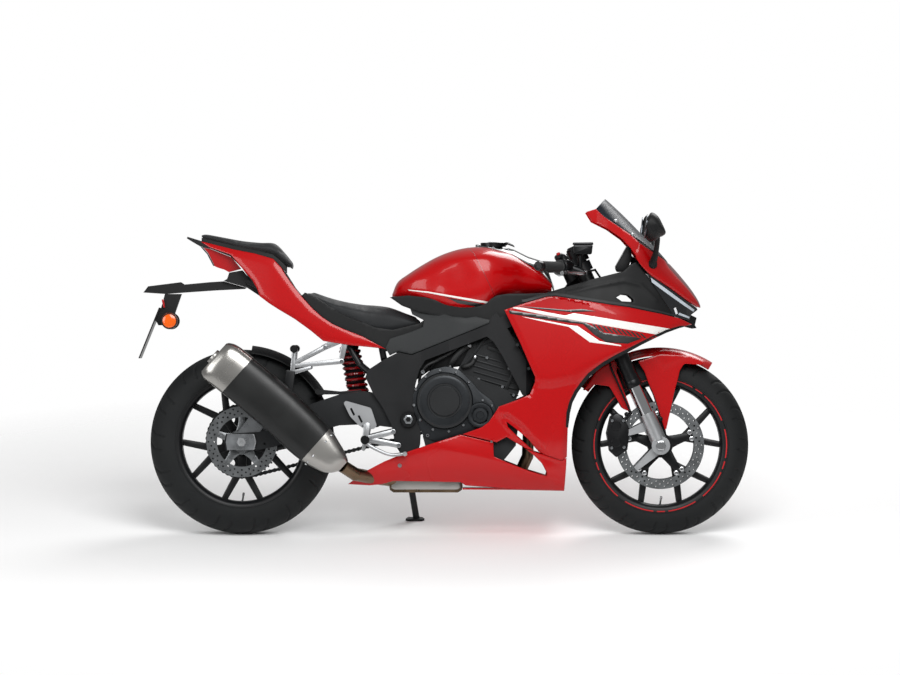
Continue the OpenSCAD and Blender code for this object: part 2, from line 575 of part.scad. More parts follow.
cover_rows = [[790, 40, 979, 5], [830, 62, 980, 10], [880, 74, 972, 16], [920, 80, 962, 20], [968, 78, 938, 22], [1012, 72, 924, 22], [1040, 62, 880, 18], [1056, 52, 834, 14]];
module tank_cover() color("#1b1c1d") {
  cover_skin();
  // hinge ears and pin of the filler lid
  at(cap_pin) disc(2.5, -17, 17);
  pair() side(12, 17) polygon([[cap_pin[0] - 3.6, cap_pin[2] - 3], [cap_pin[0] + 4, cap_pin[2] - 5], [cap_pin[0] + 26, cap_pin[2] - 13],
                              [cap_pin[0] + 22, cap_pin[2] - 5], [cap_pin[0] + 4, cap_pin[2] + 4], [cap_pin[0] - 3.6, cap_pin[2] + 4]]);
}
module cover_skin() difference() {
  loft([for (r = cover_rows) skin([for (t = [1 : -0.25 : -1]) [r[0], r[1] * t, r[2] - r[3] * t * t]],
                                  [for (t = [1 : -0.25 : -1]) [r[0] > 1000 ? -4 : 0, 0, -4]])]);
  at([cap_at[0], 0, 940]) cylinder(r = 53, h = 80);
}
cap_pin = [cap_at[0] + 47, 0, cap_at[2] + 5];
module fuel_cap() color("#2c2e30") difference() {
  union() {
    at(cap_at) {
      at([0, 0, -6]) cylinder(r = 43, h = 13);
      at([0, 0, -26]) cylinder(r = 32, h = 22);
      side(-11, 11) polygon([[34, -4], [46, -1], [50, 3], [50, 8], [46, 10], [34, 7]]);
    }
  }
  at(cap_pin) disc(2.5 + run_gap, -20, 20);
}
seat_rows = [[214, 62, 824, 806, 0.8], [250, 104, 812, 776, 0.6], [300, 128, 796, 742, 0.5], [352, 138, 783, 716, 0.5],
             [409, 138, 774, 690, 0.5], [452, 130, 771, 674, 0.5], [500, 116, 764, 668, 0.5], [560, 104, 742, 684, 0.5], [612, 96, 724, 702, 0.6]];
module rider_seat() color("#2e3032") loft([for (r = seat_rows) whole(hoop(r[0], r[1], r[2], r[3], r[4], 9))]);
pillion_rows = [[-150, 26, 1010, 1003, 0.8], [-120, 52, 1011, 994, 0.6], [-60, 70, 1000, 979, 0.5], [0, 84, 989, 964, 0.5],
                [60, 96, 983, 953, 0.5], [110, 100, 980, 938, 0.5], [140, 98, 950, 912, 0.6], [174, 90, 912, 884, 0.7]];
module pillion_seat() color("#2e3032") loft([for (r = pillion_rows) whole(hoop(r[0], r[1], r[2], r[3], r[4], 9))]);

// Thin panel over a table of half widths: xs along the bike, zs up it
module sheet_panel(xs, zs, w, t, out = 0)
  loft([for (i = [0 : len(xs) - 1]) skin([for (j = [0 : len(zs) - 1]) [xs[i], w[i][j] + out, zs[j]]], [for (j = zs) [0, -t, 0]])]);

tail_xs = [-170, -90, 0, 110, 220, 340, 500];
tail_zs = [600, 700, 780, 860, 930, 1010];
tail_w = [[60, 56, 50, 44, 38, 28], [78, 76, 70, 64, 58, 46], [98, 96, 92, 86, 78, 64], [118, 117, 114, 108, 100, 84],
          [132, 131, 128, 121, 108, 90], [138, 138, 134, 124, 110, 90], [134, 133, 128, 118, 104, 90]];
module tail_cowl() color("#b80d10") pair() intersection() {
  side(0, 200) polygon([[-147, 992], [-92, 978], [-28, 962], [44, 948], [106, 930], [134, 900], [149, 874], [180, 831], [208, 797], [239, 763],
                        [271, 734], [307, 710], [347, 692], [408, 668], [486, 626], [358, 639], [276, 652], [235, 686], [180, 726],
                        [126, 758], [90, 781], [60, 804], [53, 826], [35, 858], [12, 885], [-19, 922], [-38, 944], [-74, 956], [-110, 969]]);
  sheet_panel(tail_xs, tail_zs, tail_w, panel);
}
module tail_undertray() color("#191a1b") difference() {
  tail_tray();
  seat_rails(gap);
}
module tail_tray() {
  intersection() {
    side(-120, 120) polygon([[-188, 1000], [-165, 986], [-137, 970], [-110, 966], [-74, 952], [-38, 938], [0, 900], [35, 850], [60, 812],
                             [126, 760], [180, 730], [235, 692], [276, 656], [320, 700], [230, 770], [180, 832], [150, 880], [120, 912],
                             [100, 934], [44, 946], [-28, 960], [-92, 977], [-147, 994], [-186, 1006]]);
    plan(500, 1100) polygon([[-190, -18], [-150, -29.8], [-90, -46.2], [0, -68], [110, -86], [330, -98], [330, 98], [110, 86], [0, 68], [-90, 46.2],
                             [-150, 29.8], [-190, 18]]);
  }
  side(-40, 40) polygon([[0, 930], [0, 963.3], [60, 952.3], [60, 925]]);
  side(-44, 44) polygon([[-44, 884], [-51, 863], [-63, 856], [17, 833], [58, 806], [52, 826], [34, 852], [0, 892]]);
}
module tail_light() color("#a01018") side(-34, 34)
  polygon([[-138, 969.4], [-118, 948], [-97, 908], [-83, 901], [-60, 894], [-46, 886], [-4, 897], [-37.4, 936.9], [-73.7, 951], [-109.5, 965.2]]);
module plate_bracket() {
  color("#1a1b1c") {
    side(-26, 26) polygon([[-63, 855], [-110, 852], [-196, 844], [-208, 852], [-319, 838], [-335, 817], [-260, 812], [-194, 817], [-92, 824], [8, 829],
                           [14, 833], [-52, 852]]);
    side(-30, 30) polygon([[-262, 812], [-274.6, 766], [-292.8, 721.5], [-284, 706], [-234, 706], [-228, 749], [-206, 812]]);
    pair() bar([-244, 28, 722], [-244, 84, 722], 8);
  }
  color("#d9660a") pair() at([-244, 0, 720]) disc(27, 84.3, 112);
  color("#9c1013") side(-40, 40) polygon([[-272, 792], [-266, 766], [-262, 766], [-266, 792]]);
}
module number_plate() color("#e9e9e6") side(-92, 92) polygon([[-276, 764], [-345, 594], [-349, 595], [-280, 766]]);

// ---------------------------------------------------------------- fairing

fair_xs = [340, 500, 640, 760, 880, 1000, 1100, 1200, 1300, 1400, 1480, 1560];
fair_zs = [120, 170, 220, 300, 400, 500, 600, 700, 830];
fair_w = [[96, 122, 136, 146, 150, 150, 150, 150, 150], [104, 134, 152, 164, 168, 170, 170, 170, 170],
          [108, 142, 162, 180, 186, 190, 190, 188, 186], [110, 146, 168, 190, 198, 202, 202, 200, 196],
          [112, 148, 174, 197, 206, 210, 210, 206, 200], [112, 148, 174, 198, 208, 214, 215, 211, 203],
          [108, 142, 168, 192, 205, 214, 216, 212, 202], [100, 132, 158, 182, 197, 208, 212, 207, 194],
          [88, 118, 142, 165, 181, 194, 199, 193, 176], [70, 94, 116, 138, 155, 168, 172, 164, 142],
          [40, 60, 76, 96, 112, 126, 130, 121, 98], [10, 14, 20, 30, 42, 54, 58, 50, 32]];
fair_outline = [[886, 757], [959, 781], [1029, 801], [1059, 803], [1253, 773], [1305, 766], [1413, 744], [1478, 729], [1522, 708],
                [1478, 697], [1435, 682], [1392, 662], [1349, 641], [1305, 617], [1262, 595], [1219, 569], [1176, 535], [1150, 504],
                [1132, 479], [1115, 444], [1106, 409], [1100, 360], [1097, 262], [1080, 250], [957, 291], [894, 329], [860, 311], [737, 338], [791, 355],
                [812, 363], [834, 380], [855, 411], [868, 432], [929, 454], [972, 473], [989, 514], [989, 532], [938, 649]];
slot = [[894, 380], [899, 363], [929, 333], [972, 294], [998, 275], [1005, 277], [989, 294], [968, 320], [938, 346], [912, 367]];
// Half width of the fairing at a point of its side view
function fair_y(x, z) = let (
  i = max([for (k = [0 : len(fair_xs) - 2]) fair_xs[k] <= x ? k : 0]),
  j = max([for (k = [0 : len(fair_zs) - 2]) fair_zs[k] <= z ? k : 0]),
  u = (x - fair_xs[i]) / (fair_xs[i + 1] - fair_xs[i]),
  v = (z - fair_zs[j]) / (fair_zs[j + 1] - fair_zs[j]))
  (fair_w[i][j] * (1 - u) + fair_w[i + 1][j] * u) * (1 - v) + (fair_w[i][j + 1] * (1 - u) + fair_w[i + 1][j + 1] * u) * v + fairing_out;
module fairing_side() color("#b80d10") intersection() {
  side(0, 300) difference() {
    polygon(fair_outline);
    polygon(slot);
  }
  sheet_panel(fair_xs, fair_zs, fair_w, panel, fairing_out);
}
module fairing_left() fairing_side();
module fairing_right() mirror([0, 1, 0]) fairing_side();
belly_outline = [[359, 169], [415, 211], [481, 246], [565, 281], [639, 306], [737, 337], [849, 310], [851, 264], [890, 246], [972, 214],
                 [1028, 197], [1031, 207], [1015, 238], [989, 264], [960, 288], [1080, 249], [1096, 260], [1095, 229], [1089, 147],
                 [920, 153], [756, 165], [739, 176], [512, 180], [473, 169], [433, 165]];
module belly_side(rear) color("#b80d10") intersection() {
  side(0, 300) intersection() {
    polygon(belly_outline);
    translate([rear, 0]) square([900, 400]);
  }
  sheet_panel(fair_xs, fair_zs, fair_w, panel, fairing_out);
}
module belly_pan() {
  mirror([0, 1, 0]) belly_side(300);
  belly_side(652);
  color("#b80d10") side(-125, 125) polygon([[746, 151], [925, 150], [1087, 146.5], [1087, 151.5], [925, 155], [746, 156]]);
}
// Steering-side nose: a cap over the headlight and a strip under each side of the screen
// Rows: ridge x, ridge z, edge x, edge z, half width
nose_rows = [[1447, 912, 1340, 984, 158], [1460, 898, 1330, 936, 162], [1481, 874, 1373, 880, 150], [1516, 831, 1440, 834, 118],
             [1542, 792, 1503, 789, 74], [1553, 766, 1540, 766, 26]];
function arch(r, k) = [for (t = [1 : -1 / k : -1.001]) let (a = 90 * t)
  [r[2] + (r[0] - r[2]) * cos(a), r[4] * sin(a), r[3] + (r[1] - r[3]) * cos(a)]];
function arch_wall(t) = [for (k = [6 : -1 : -6]) [-1.5, -t * sin(15 * k), -t * cos(15 * k)]];
screen_rows = [[1230, 1134, 1196, 1098, 112], [1290, 1078, 1222, 1072, 132], [1352, 1015, 1276, 1036, 148], [1408, 958, 1316, 1010, 154], [1442, 919, 1342, 994, 154]];
strip_low = [[1163, 1088], [1183, 1056], [1236, 1030], [1284, 996], [1312, 965], [1329.2, 936.6]];
module nose_cowl() color("#b80d10") {
  difference() {
    loft([for (r = nose_rows) skin(arch(r, 6), arch_wall(4))]);
    pair() bar(mirror_stalk[0] - (mirror_stalk[1] - mirror_stalk[0]), mirror_stalk[1], 10);
  }
  pair() loft([for (i = [0 : 5]) let (r = screen_rows[min(i, 4)], q = strip_low[i], e = i == 5 ? [1339.2, 984.2] : [r[2] - 0.6, r[3] - 0.8])
    skin([[q[0], r[4] + 5, q[1]], [e[0], r[4] + 2, e[1]]], [[0, -4, 0], [0, -4, 0]])]);
}
module windscreen() color("#5a1a1c") intersection() {
  // its side view, with the two screws that hold each side
  side(-200, 200) difference() {
    polygon([[1150, 1100], [1234, 1160], [1480, 930], [1442, 880], [1330, 960]]);
    for (p = [[1262, 1062], [1318, 1024]]) translate(p) circle(r = 3);
  }
  loft([for (r = screen_rows) skin(arch(r, 6), arch_wall(3))]);
}
module headlight() color("#2a2c30") intersection() {
  side(-200, 200) polygon([[1372, 878.9], [1393.5, 836], [1460.5, 735.8], [1514, 722], [1520, 742], [1542, 758], [1539.3, 764.8], [1503, 787.7], [1440, 832.7]]);
  plan(600, 1000) polygon([[1370, -150], [1373, -149], [1440, -117], [1503, -73], [1540, -25], [1543, -14], [1543, 14], [1540, 25], [1503, 73], [1440, 117], [1373, 149], [1370, 150]]);
}
inner_xs = [880, 1000, 1100, 1200, 1300, 1400, 1480];
inner_zs = [700, 760, 830, 880, 930];
inner_top = [[172, 164, 152], [176, 168, 156], [176, 168, 158], [170, 162, 154], [158, 154, 148], [136, 132, 126], [94, 90, 84]];
inner_w = [for (i = [0 : len(inner_xs) - 1]) concat(
  [for (z = [700, 760]) fair_y(inner_xs[i], z) - panel - 0.5], inner_top[i])];
module cockpit_panels() color("#1b1c1e") {
  pair() intersection() {
    side(0, 300) difference() {
      polygon([[1075, 829], [1183, 861], [1287, 887], [1317, 913], [1330, 918], [1371, 869], [1402, 822], [1432, 775], [1462, 732],
               [1395, 738], [1330, 752], [1252, 765], [1131, 786], [1027, 796], [945, 790]]);
      polygon([[1263, 799], [1282, 810], [1304, 807], [1321, 792], [1321, 784], [1282, 786]]);
    }
    sheet_panel(inner_xs, inner_zs, inner_w, 3);
  }
  // chin under the headlight
  intersection() {
    side(-200, 200) polygon([[1475, 731.4], [1514.5, 721.2], [1520.6, 741], [1540, 731], [1533, 706], [1540, 696], [1524, 694], [1500, 700], [1470, 722]]);
    plan(600, 900) polygon([[1440, -90], [1500, -52], [1545, -14], [1545, 14], [1500, 52], [1440, 90]]);
  }
  // instruments and their stay
  side(-84, 84) polygon([[1263, 903], [1278, 930], [1304, 974], [1316, 968], [1318, 930], [1300, 888], [1269, 886]]);
  side(-20, 20) polygon([[1316, 940], [1316, 905], [1362, 881], [1371, 880.2], [1376, 877.1], [1384, 871.7], [1384, 890], [1318, 944]]);
}
mirror_stalk = [[1386, 146, 912], [1396, 190, 950], [1400, 240, 992], [1398, 275, 1016]];
module mirrors() color("#1a1b1d") pair() {
  rod(mirror_stalk, 9);
  intersection() {
    side(252, 376) polygon([[1380, 1084], [1399, 1071], [1412, 1047], [1425, 1013], [1421, 1004], [1408, 998], [1390, 983], [1369, 987], [1356, 1017], [1362, 1047], [1369, 1073]]);
    rotate([90, 0, 90]) linear_extrude(1500) polygon([[252, 1004], [264, 984], [340, 992], [372, 1020], [376, 1050], [362, 1078], [300, 1084], [262, 1060]]);
  }
}
module side_covers() color("#3c3d3f") pair() intersection() {
  side(0, 300) polygon([[500, 660], [574, 684], [612, 700], [616, 722], [576, 742], [560, 786], [600, 772], [671, 748], [709, 736], [756, 731], [790, 735],
                        [838, 724], [834, 711.4], [700, 656.7], [574, 605.8], [529, 615.8], [500, 602.5], [486, 628]]);
  sheet_panel([470, 560, 640, 720, 850], [590, 650, 720, 800], [[128, 124, 116, 108], [140, 134, 124, 112], [156, 150, 140, 126], [176, 172, 164, 152], [186, 184, 180, 172]], 3);
}

// ---------------------------------------------------------------- foot gear and stand

hanger_out = 124;
module footpeg_hangers() color("#b3b5b8") {
  pair() difference() {
    union() {
      side(150.4, 160.4) polygon([[405, 284], [398, 310], [360, 392], [345, 440], [352, 452], [437, 428], [462, 366], [500, 362], [529, 362], [540, 330],
                              [536, 290], [520, 286], [440, 300], [425, 280]]);
    }
    side(149, 162) polygon([[420, 340], [400, 400], [425, 398], [442, 352]]);
  }
  // passenger brackets, with their pegs folded
  pair() {
    side(hanger_out - 9, hanger_out) polygon([[336, 680], [362, 676], [362, 648], [345, 590], [337, 574], [225, 555], [180, 530], [150, 530],
                                              [160, 556], [172, 640], [186, 640], [240, 620], [276, 632], [310, 676]]);
    at([346, 0, 662]) disc(11, 102.8, hanger_out - 5);
    at([178, 0, 626]) disc(12, hanger_out - 5, 200);
  }
}
module foot_controls() {
  color("#1d1e20") pair() at([418, 0, 320]) disc(14, 160.7, 258);
  // brake pedal on the right, gear lever on the left
  color("#6f7275") {
    mirror([0, 1, 0]) side(173, 181) polygon([[400, 312], [440, 288], [500, 266], [560, 268], [560, 276], [500, 276], [446, 300], [420, 330], [404, 330]]);
    mirror([0, 1, 0]) at([552, 0, 273]) disc(6, 181, 212);
    side(173, 181) polygon([[404, 308], [440, 296], [510, 296], [580, 306], [580, 314], [510, 308], [444, 310], [420, 334], [404, 334]]);
    at([572, 0, 310]) disc(6, 181, 214);
  }
}

stand_pivot = [556, 158, 246];
stand_foot = bike([588 - middle[0], 238 - middle[1], 9]);
stand_leg = stand_foot - stand_pivot;
stand_up = [-1, 0.06, 0.02];
stand_n = cross(stand_leg, stand_up) / norm(cross(stand_leg, stand_up));
module side_stand() color("#2a2b2d") {
  difference() {
    union() {
      bar(stand_pivot - stand_n * 11, stand_pivot + stand_n * 11, 20);
      bar(stand_pivot + stand_leg * 0.04, stand_foot, 11);
      at(stand_foot) sphere(r = 12);
    }
    bar(stand_pivot - stand_n * 30, stand_pivot + stand_n * 30, 8 + run_gap);
    at(stand_foot) rotate([lean, 0, 0]) at([0, 0, -9]) mirror([0, 0, 1]) cylinder(r = 60, h = 30);
  }
  at(stand_foot) rotate([lean, 0, 0]) at([-4, 0, -9]) linear_extrude(7) polygon([[-foot_half - 8, -12], [-foot_half, -20], [foot_half, -20],
    [foot_half + 8, -8], [foot_half, 20], [-foot_half, 20]]);
}
module side_stand_lug() {
  bar(stand_pivot - stand_n * 30, stand_pivot - stand_n * 12.2, 20);
  bar(stand_pivot - stand_n * 20, stand_pivot + stand_n * 14, 8);
  bar(stand_pivot + stand_n * 12.2, stand_pivot + stand_n * 17, 13);
  bar(stand_pivot - stand_n * 24, [560, 120, 276], 10);
}
module front_fork() {
  fork_tubes();
  triple_clamps();
}
module fork_sliders() {
  slider_pair();
  front_axle();
}
module rear_disc_and_sprocket() {
  rear_disc();
  rear_sprocket();
}

// ---------------------------------------------------------------- what is drawn
lean() main_frame();
lean() swingarm();
lean() rear_axle();
lean() shock_absorber();
lean() chain();
lean() rear_hugger();
lean() engine();
lean() radiator();
lean() exhaust_headers();
lean() silencer();
lean() tail_cowl();
lean() tail_undertray();
lean() tail_light();
lean() plate_bracket();
lean() number_plate();
lean() rider_seat();
lean() pillion_seat();
lean() fuel_tank();
lean() tank_cover();
lean() fuel_cap();
lean() side_covers();
lean() fairing_left();
lean() fairing_right();
lean() belly_pan();
lean() nose_cowl();
lean() windscreen();
lean() headlight();
lean() cockpit_panels();
lean() mirrors();
lean() footpeg_hangers();
lean() foot_controls();
lean() front_fork();
lean() fork_sliders();
lean() front_mudguard();
lean() front_brakes();
lean() handlebars();
lean() grips();
lean() hand_controls();
lean() front_wheel();
lean() front_tyre();
lean() front_discs();
lean() rear_wheel();
lean() rear_tyre();
lean() rear_disc_and_sprocket();
lean() side_stand();
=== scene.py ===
"""Looks of a middleweight sport bike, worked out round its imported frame.

Shapes are worked out in the bike's own frame, upright and in millimetres: x forward from the rear axle,
y to the rider's left, z up from the road. place() leans them over with the machine, in metres.
"""
import json
import math

import bpy
import numpy as np
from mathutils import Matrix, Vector
from mathutils.geometry import delaunay_2d_cdt


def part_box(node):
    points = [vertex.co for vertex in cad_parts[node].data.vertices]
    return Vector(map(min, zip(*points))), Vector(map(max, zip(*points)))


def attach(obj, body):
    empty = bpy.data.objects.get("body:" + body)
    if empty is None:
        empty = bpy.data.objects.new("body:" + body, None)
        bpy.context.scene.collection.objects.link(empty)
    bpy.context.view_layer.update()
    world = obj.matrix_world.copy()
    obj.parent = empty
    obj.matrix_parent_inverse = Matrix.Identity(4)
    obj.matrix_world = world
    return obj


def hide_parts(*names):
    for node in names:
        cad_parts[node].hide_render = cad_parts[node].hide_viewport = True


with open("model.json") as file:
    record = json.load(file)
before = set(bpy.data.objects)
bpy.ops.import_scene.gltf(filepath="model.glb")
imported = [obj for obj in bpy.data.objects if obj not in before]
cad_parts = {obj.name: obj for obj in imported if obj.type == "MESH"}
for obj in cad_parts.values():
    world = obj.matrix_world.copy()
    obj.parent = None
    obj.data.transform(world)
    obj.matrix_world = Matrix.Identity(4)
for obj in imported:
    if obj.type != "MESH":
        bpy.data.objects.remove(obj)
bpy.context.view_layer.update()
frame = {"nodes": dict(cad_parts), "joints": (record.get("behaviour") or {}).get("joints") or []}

NODES = frame["nodes"]
JOINTS = {j["name"]: j for j in frame["joints"]}

# ---------------------------------------------------------------- the bike's frame

FORWARD = np.array([1.0, 0.0, 0.0])
LEFT = np.array(JOINTS["rear_wheel_spin"]["axis"])
UP = np.cross(FORWARD, LEFT)
BASIS = np.array([FORWARD, LEFT, UP])
REAR_AXLE = np.array(JOINTS["rear_wheel_spin"]["pos_m"])
FRONT_AXLE = np.array(JOINTS["front_wheel_spin"]["pos_m"])


def tyre_radius(node):
    """Half the length of a tyre's box along the bike, in mm."""
    low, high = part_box(node)
    return (high.x - low.x) * 500


REAR_R = tyre_radius("rear_tyre")
FRONT_R = tyre_radius("front_tyre")
ORIGIN = REAR_AXLE - UP * REAR_R / 1000
WHEELBASE = (FRONT_AXLE[0] - REAR_AXLE[0]) * 1000
RAKE = math.acos(float(np.dot(JOINTS["steering"]["axis"], UP)))


def place(points):
    """Bike millimetres to the row frame's metres."""
    return ORIGIN + np.asarray(points, float) @ BASIS / 1000


def fork(points):
    """Fork coordinates, (ahead, left, up along the fork) from the front axle, to bike millimetres."""
    p = np.asarray(points, float).reshape(-1, 3)
    c, s = math.cos(RAKE), math.sin(RAKE)
    return np.stack([WHEELBASE + p[:, 0] * c - p[:, 2] * s, p[:, 1], FRONT_R + p[:, 0] * s + p[:, 2] * c], 1)


# ---------------------------------------------------------------- mesh tools


def bell(distance, width):
    """Bell curve: 1 at no distance, 0.61 at one width and 0.01 at three."""
    return np.exp(-0.5 * (distance / width) ** 2)


def full_turn(count):
    """A full turn in radians, cut into count angles."""
    return np.linspace(0, 2 * math.pi, count, endpoint=False)


def ring_faces(rows, count, wrap=False):
    """Quads of a grid of rows of count points, each row closed. wrap joins the last row to the first."""
    r = np.arange(rows if wrap else rows - 1)[:, None]
    c = np.arange(count)[None, :]
    a, b = r * count + c, r * count + (c + 1) % count
    step = (r + 1) % rows
    d, e = step * count + c, step * count + (c + 1) % count
    return np.stack([a, b, e, d], -1).reshape(-1, 4)


def loft(rings, wrap=False):
    """Skin over rings of points, with flat ends unless wrap joins the last ring to the first."""
    rings = np.asarray(rings, float)
    rows, count = rings.shape[:2]
    faces = ring_faces(rows, count, wrap).tolist()
    if not wrap:
        faces += [list(range(count))[::-1], list(range((rows - 1) * count, rows * count))]
    return rings.reshape(-1, 3), faces


def spline(points, count, closed=False):
    """Catmull-Rom curve through points, at count even steps of length."""
    p = np.asarray(points, float)
    q = np.vstack([p[-1:], p, p[:2]]) if closed else np.vstack([2 * p[0] - p[1], p, 2 * p[-1] - p[-2]])
    t = np.linspace(0, 1, 17)[:-1, None]
    parts = []
    for i in range(len(q) - 3):
        a, b, c, d = q[i : i + 4]
        parts.append(0.5 * (2 * b + (c - a) * t + (2 * a - 5 * b + 4 * c - d) * t**2
                            + (3 * b - a - 3 * c + d) * t**3))
    fine = np.vstack(parts + [q[-2:-1]])
    return even(fine, count, closed)


def even(line, count, closed=False):
    """The same line at count even steps of length."""
    line = np.asarray(line, float)
    length = np.r_[0, np.cumsum(np.linalg.norm(np.diff(line, axis=0), axis=1))]
    s = np.linspace(0, length[-1], count + (1 if closed else 0))[: count]
    return np.stack([np.interp(s, length, line[:, k]) for k in range(line.shape[1])], 1)


def outline(points, step):
    """A closed polygon at steps of about step mm, its corners kept."""
    p = np.asarray(points, float)
    parts = []
    for a, b in zip(p, np.roll(p, -1, 0)):
        n = max(1, int(round(np.linalg.norm(b - a) / step)))
        parts.append(a + (b - a) * np.arange(n)[:, None] / n)
    return np.vstack(parts)


def soften(points, radius, step=4.0):
    """A closed polygon with its corners rounded: each becomes an arc that starts radius away from it."""
    p = np.asarray(points, float)
    parts = []
    for a, b, c in zip(np.roll(p, 1, 0), p, np.roll(p, -1, 0)):
        u, v = a - b, c - b
        lu, lv = np.linalg.norm(u), np.linalg.norm(v)
        r = min(radius, lu * 0.45, lv * 0.45)
        t = np.linspace(0, 1, max(3, int(r / step) + 3))[:, None]
        parts.append((1 - t) ** 2 * (b + u / lu * r) + 2 * t * (1 - t) * b + t**2 * (b + v / lv * r))
    return outline(np.vstack(parts), step)


def tube(path, radius, sides=12, count=None):
    """Round tube along a path in mm; radius is one number or one for each point of the path."""
    p = np.asarray(path, float)
    if count:
        p = spline(p, count)
    if np.ndim(radius) == 0 or len(radius) == len(p):
        r = np.broadcast_to(np.asarray(radius, float), (len(p),))
    else:
        r = np.interp(np.linspace(0, 1, len(p)), np.linspace(0, 1, len(radius)), radius)
    tangent = np.gradient(p, axis=0)
    tangent /= np.linalg.norm(tangent, axis=1)[:, None]
    start = np.cross(tangent[0], [0.0, 0.0, 1.0] if abs(tangent[0][2]) < 0.9 else [0.0, 1.0, 0.0])
    across = [start / np.linalg.norm(start)]
    for t in tangent[1:]:
        v = across[-1] - t * np.dot(across[-1], t)
        across.append(v / np.linalg.norm(v))
    across = np.array(across)
    other = np.cross(tangent, across)
    a = full_turn(sides)
    c, s = np.cos(a)[None, :, None], np.sin(a)[None, :, None]
    rings = p[:, None] + r[:, None, None] * (c * across[:, None] + s * other[:, None])
    return loft(rings)


def turned(profile, centre, sides=48, wrap=False):
    """Profile of (y, radius) points turned about a line across the bike through centre (x, z)."""
    p = np.asarray(profile, float)
    a = full_turn(sides)
    x = centre[0] + p[:, 1:2] * np.cos(a)
    z = centre[1] + p[:, 1:2] * np.sin(a)
    rings = np.stack([x, np.repeat(p[:, :1], sides, 1), z], -1)
    return loft(rings, wrap)


def along(profile, base, direction, sides=24):
    """Profile of (distance, radius) points turned about a line from base in a direction."""
    d = np.asarray(direction, float)
    d /= np.linalg.norm(d)
    u = np.cross(d, [0.0, 0.0, 1.0] if abs(d[2]) < 0.9 else [0.0, 1.0, 0.0])
    u /= np.linalg.norm(u)
    v = np.cross(d, u)
    p = np.asarray(profile, float)
    a = full_turn(sides)
    circle = np.cos(a)[:, None] * u + np.sin(a)[:, None] * v
    return loft(np.asarray(base, float) + p[:, 0][:, None, None] * d + p[:, 1][:, None, None] * circle[None])


def inset(poly, distance):
    """A counter-clockwise polygon moved inwards along its corners' middle directions."""
    a, b, c = np.roll(poly, 1, 0), poly, np.roll(poly, -1, 0)
    u, v = b - a, c - b
    u = u / (np.linalg.norm(u, axis=1)[:, None] + 1e-9)
    v = v / (np.linalg.norm(v, axis=1)[:, None] + 1e-9)
    n = np.stack([-(u + v)[:, 1], (u + v)[:, 0]], 1)
    n /= np.linalg.norm(n, axis=1)[:, None] + 1e-9
    return poly + n * distance


def signed_area(poly):
    """Area of a closed outline, above 0 when it runs from x towards z."""
    x, z = poly[:, 0], poly[:, 1]
    return 0.5 * np.sum(x * np.roll(z, -1) - np.roll(x, -1) * z)


def slab(points, y0, y1, edge=1.0, corner=0.0):
    """A plate with that side view from y0 to y1, its edges rounded by edge and its corners by corner."""
    poly = np.asarray(points, float)
    if signed_area(poly) < 0:
        poly = poly[::-1]
    if corner:
        poly = soften(poly, corner, max(1.5, corner / 3))
    steps = [(0, 1.0), (0.3, 0.3), (1.0, 0.0)]
    levels = [(y0 + edge * a, edge * b) for a, b in steps] + [(y1 - edge * a, edge * b) for a,
                                                              b in steps[::-1]]
    rings = []
    for y, d in levels:
        q = inset(poly, d)
        rings.append(np.stack([q[:, 0], np.full(len(q), y), q[:, 1]], 1))
    return loft(rings)


def inside(points, poly):
    """Whether each point lies in a polygon: an odd number of its edges cross the line to the right."""
    x, z = points[:, 0:1], points[:, 1:2]
    a, b = poly, np.roll(poly, -1, 0)
    crosses = (a[:, 1] > z) != (b[:, 1] > z)
    where = a[:, 0] + (z - a[:, 1]) * (b[:, 0] - a[:, 0]) / (b[:, 1] - a[:, 1] + 1e-12)
    return (crosses & (x < where)).sum(1) % 2 == 1


def edge_distance(points, poly, closed=True):
    """Distance from each point to the nearest edge of a polygon or line."""
    a = poly if closed else poly[:-1]
    b = np.roll(poly, -1, 0) if closed else poly[1:]
    best = np.full(len(points), 1e9)
    for s in range(0, len(a), 64):
        p, q = a[s : s + 64], b[s : s + 64]
        d = q - p
        t = np.clip(((points[:, None] - p) * d).sum(-1) / ((d * d).sum(-1) + 1e-12), 0, 1)
        best = np.minimum(best, np.linalg.norm(points[:, None] - p - t[..., None] * d, axis=-1).min(1))
    return best


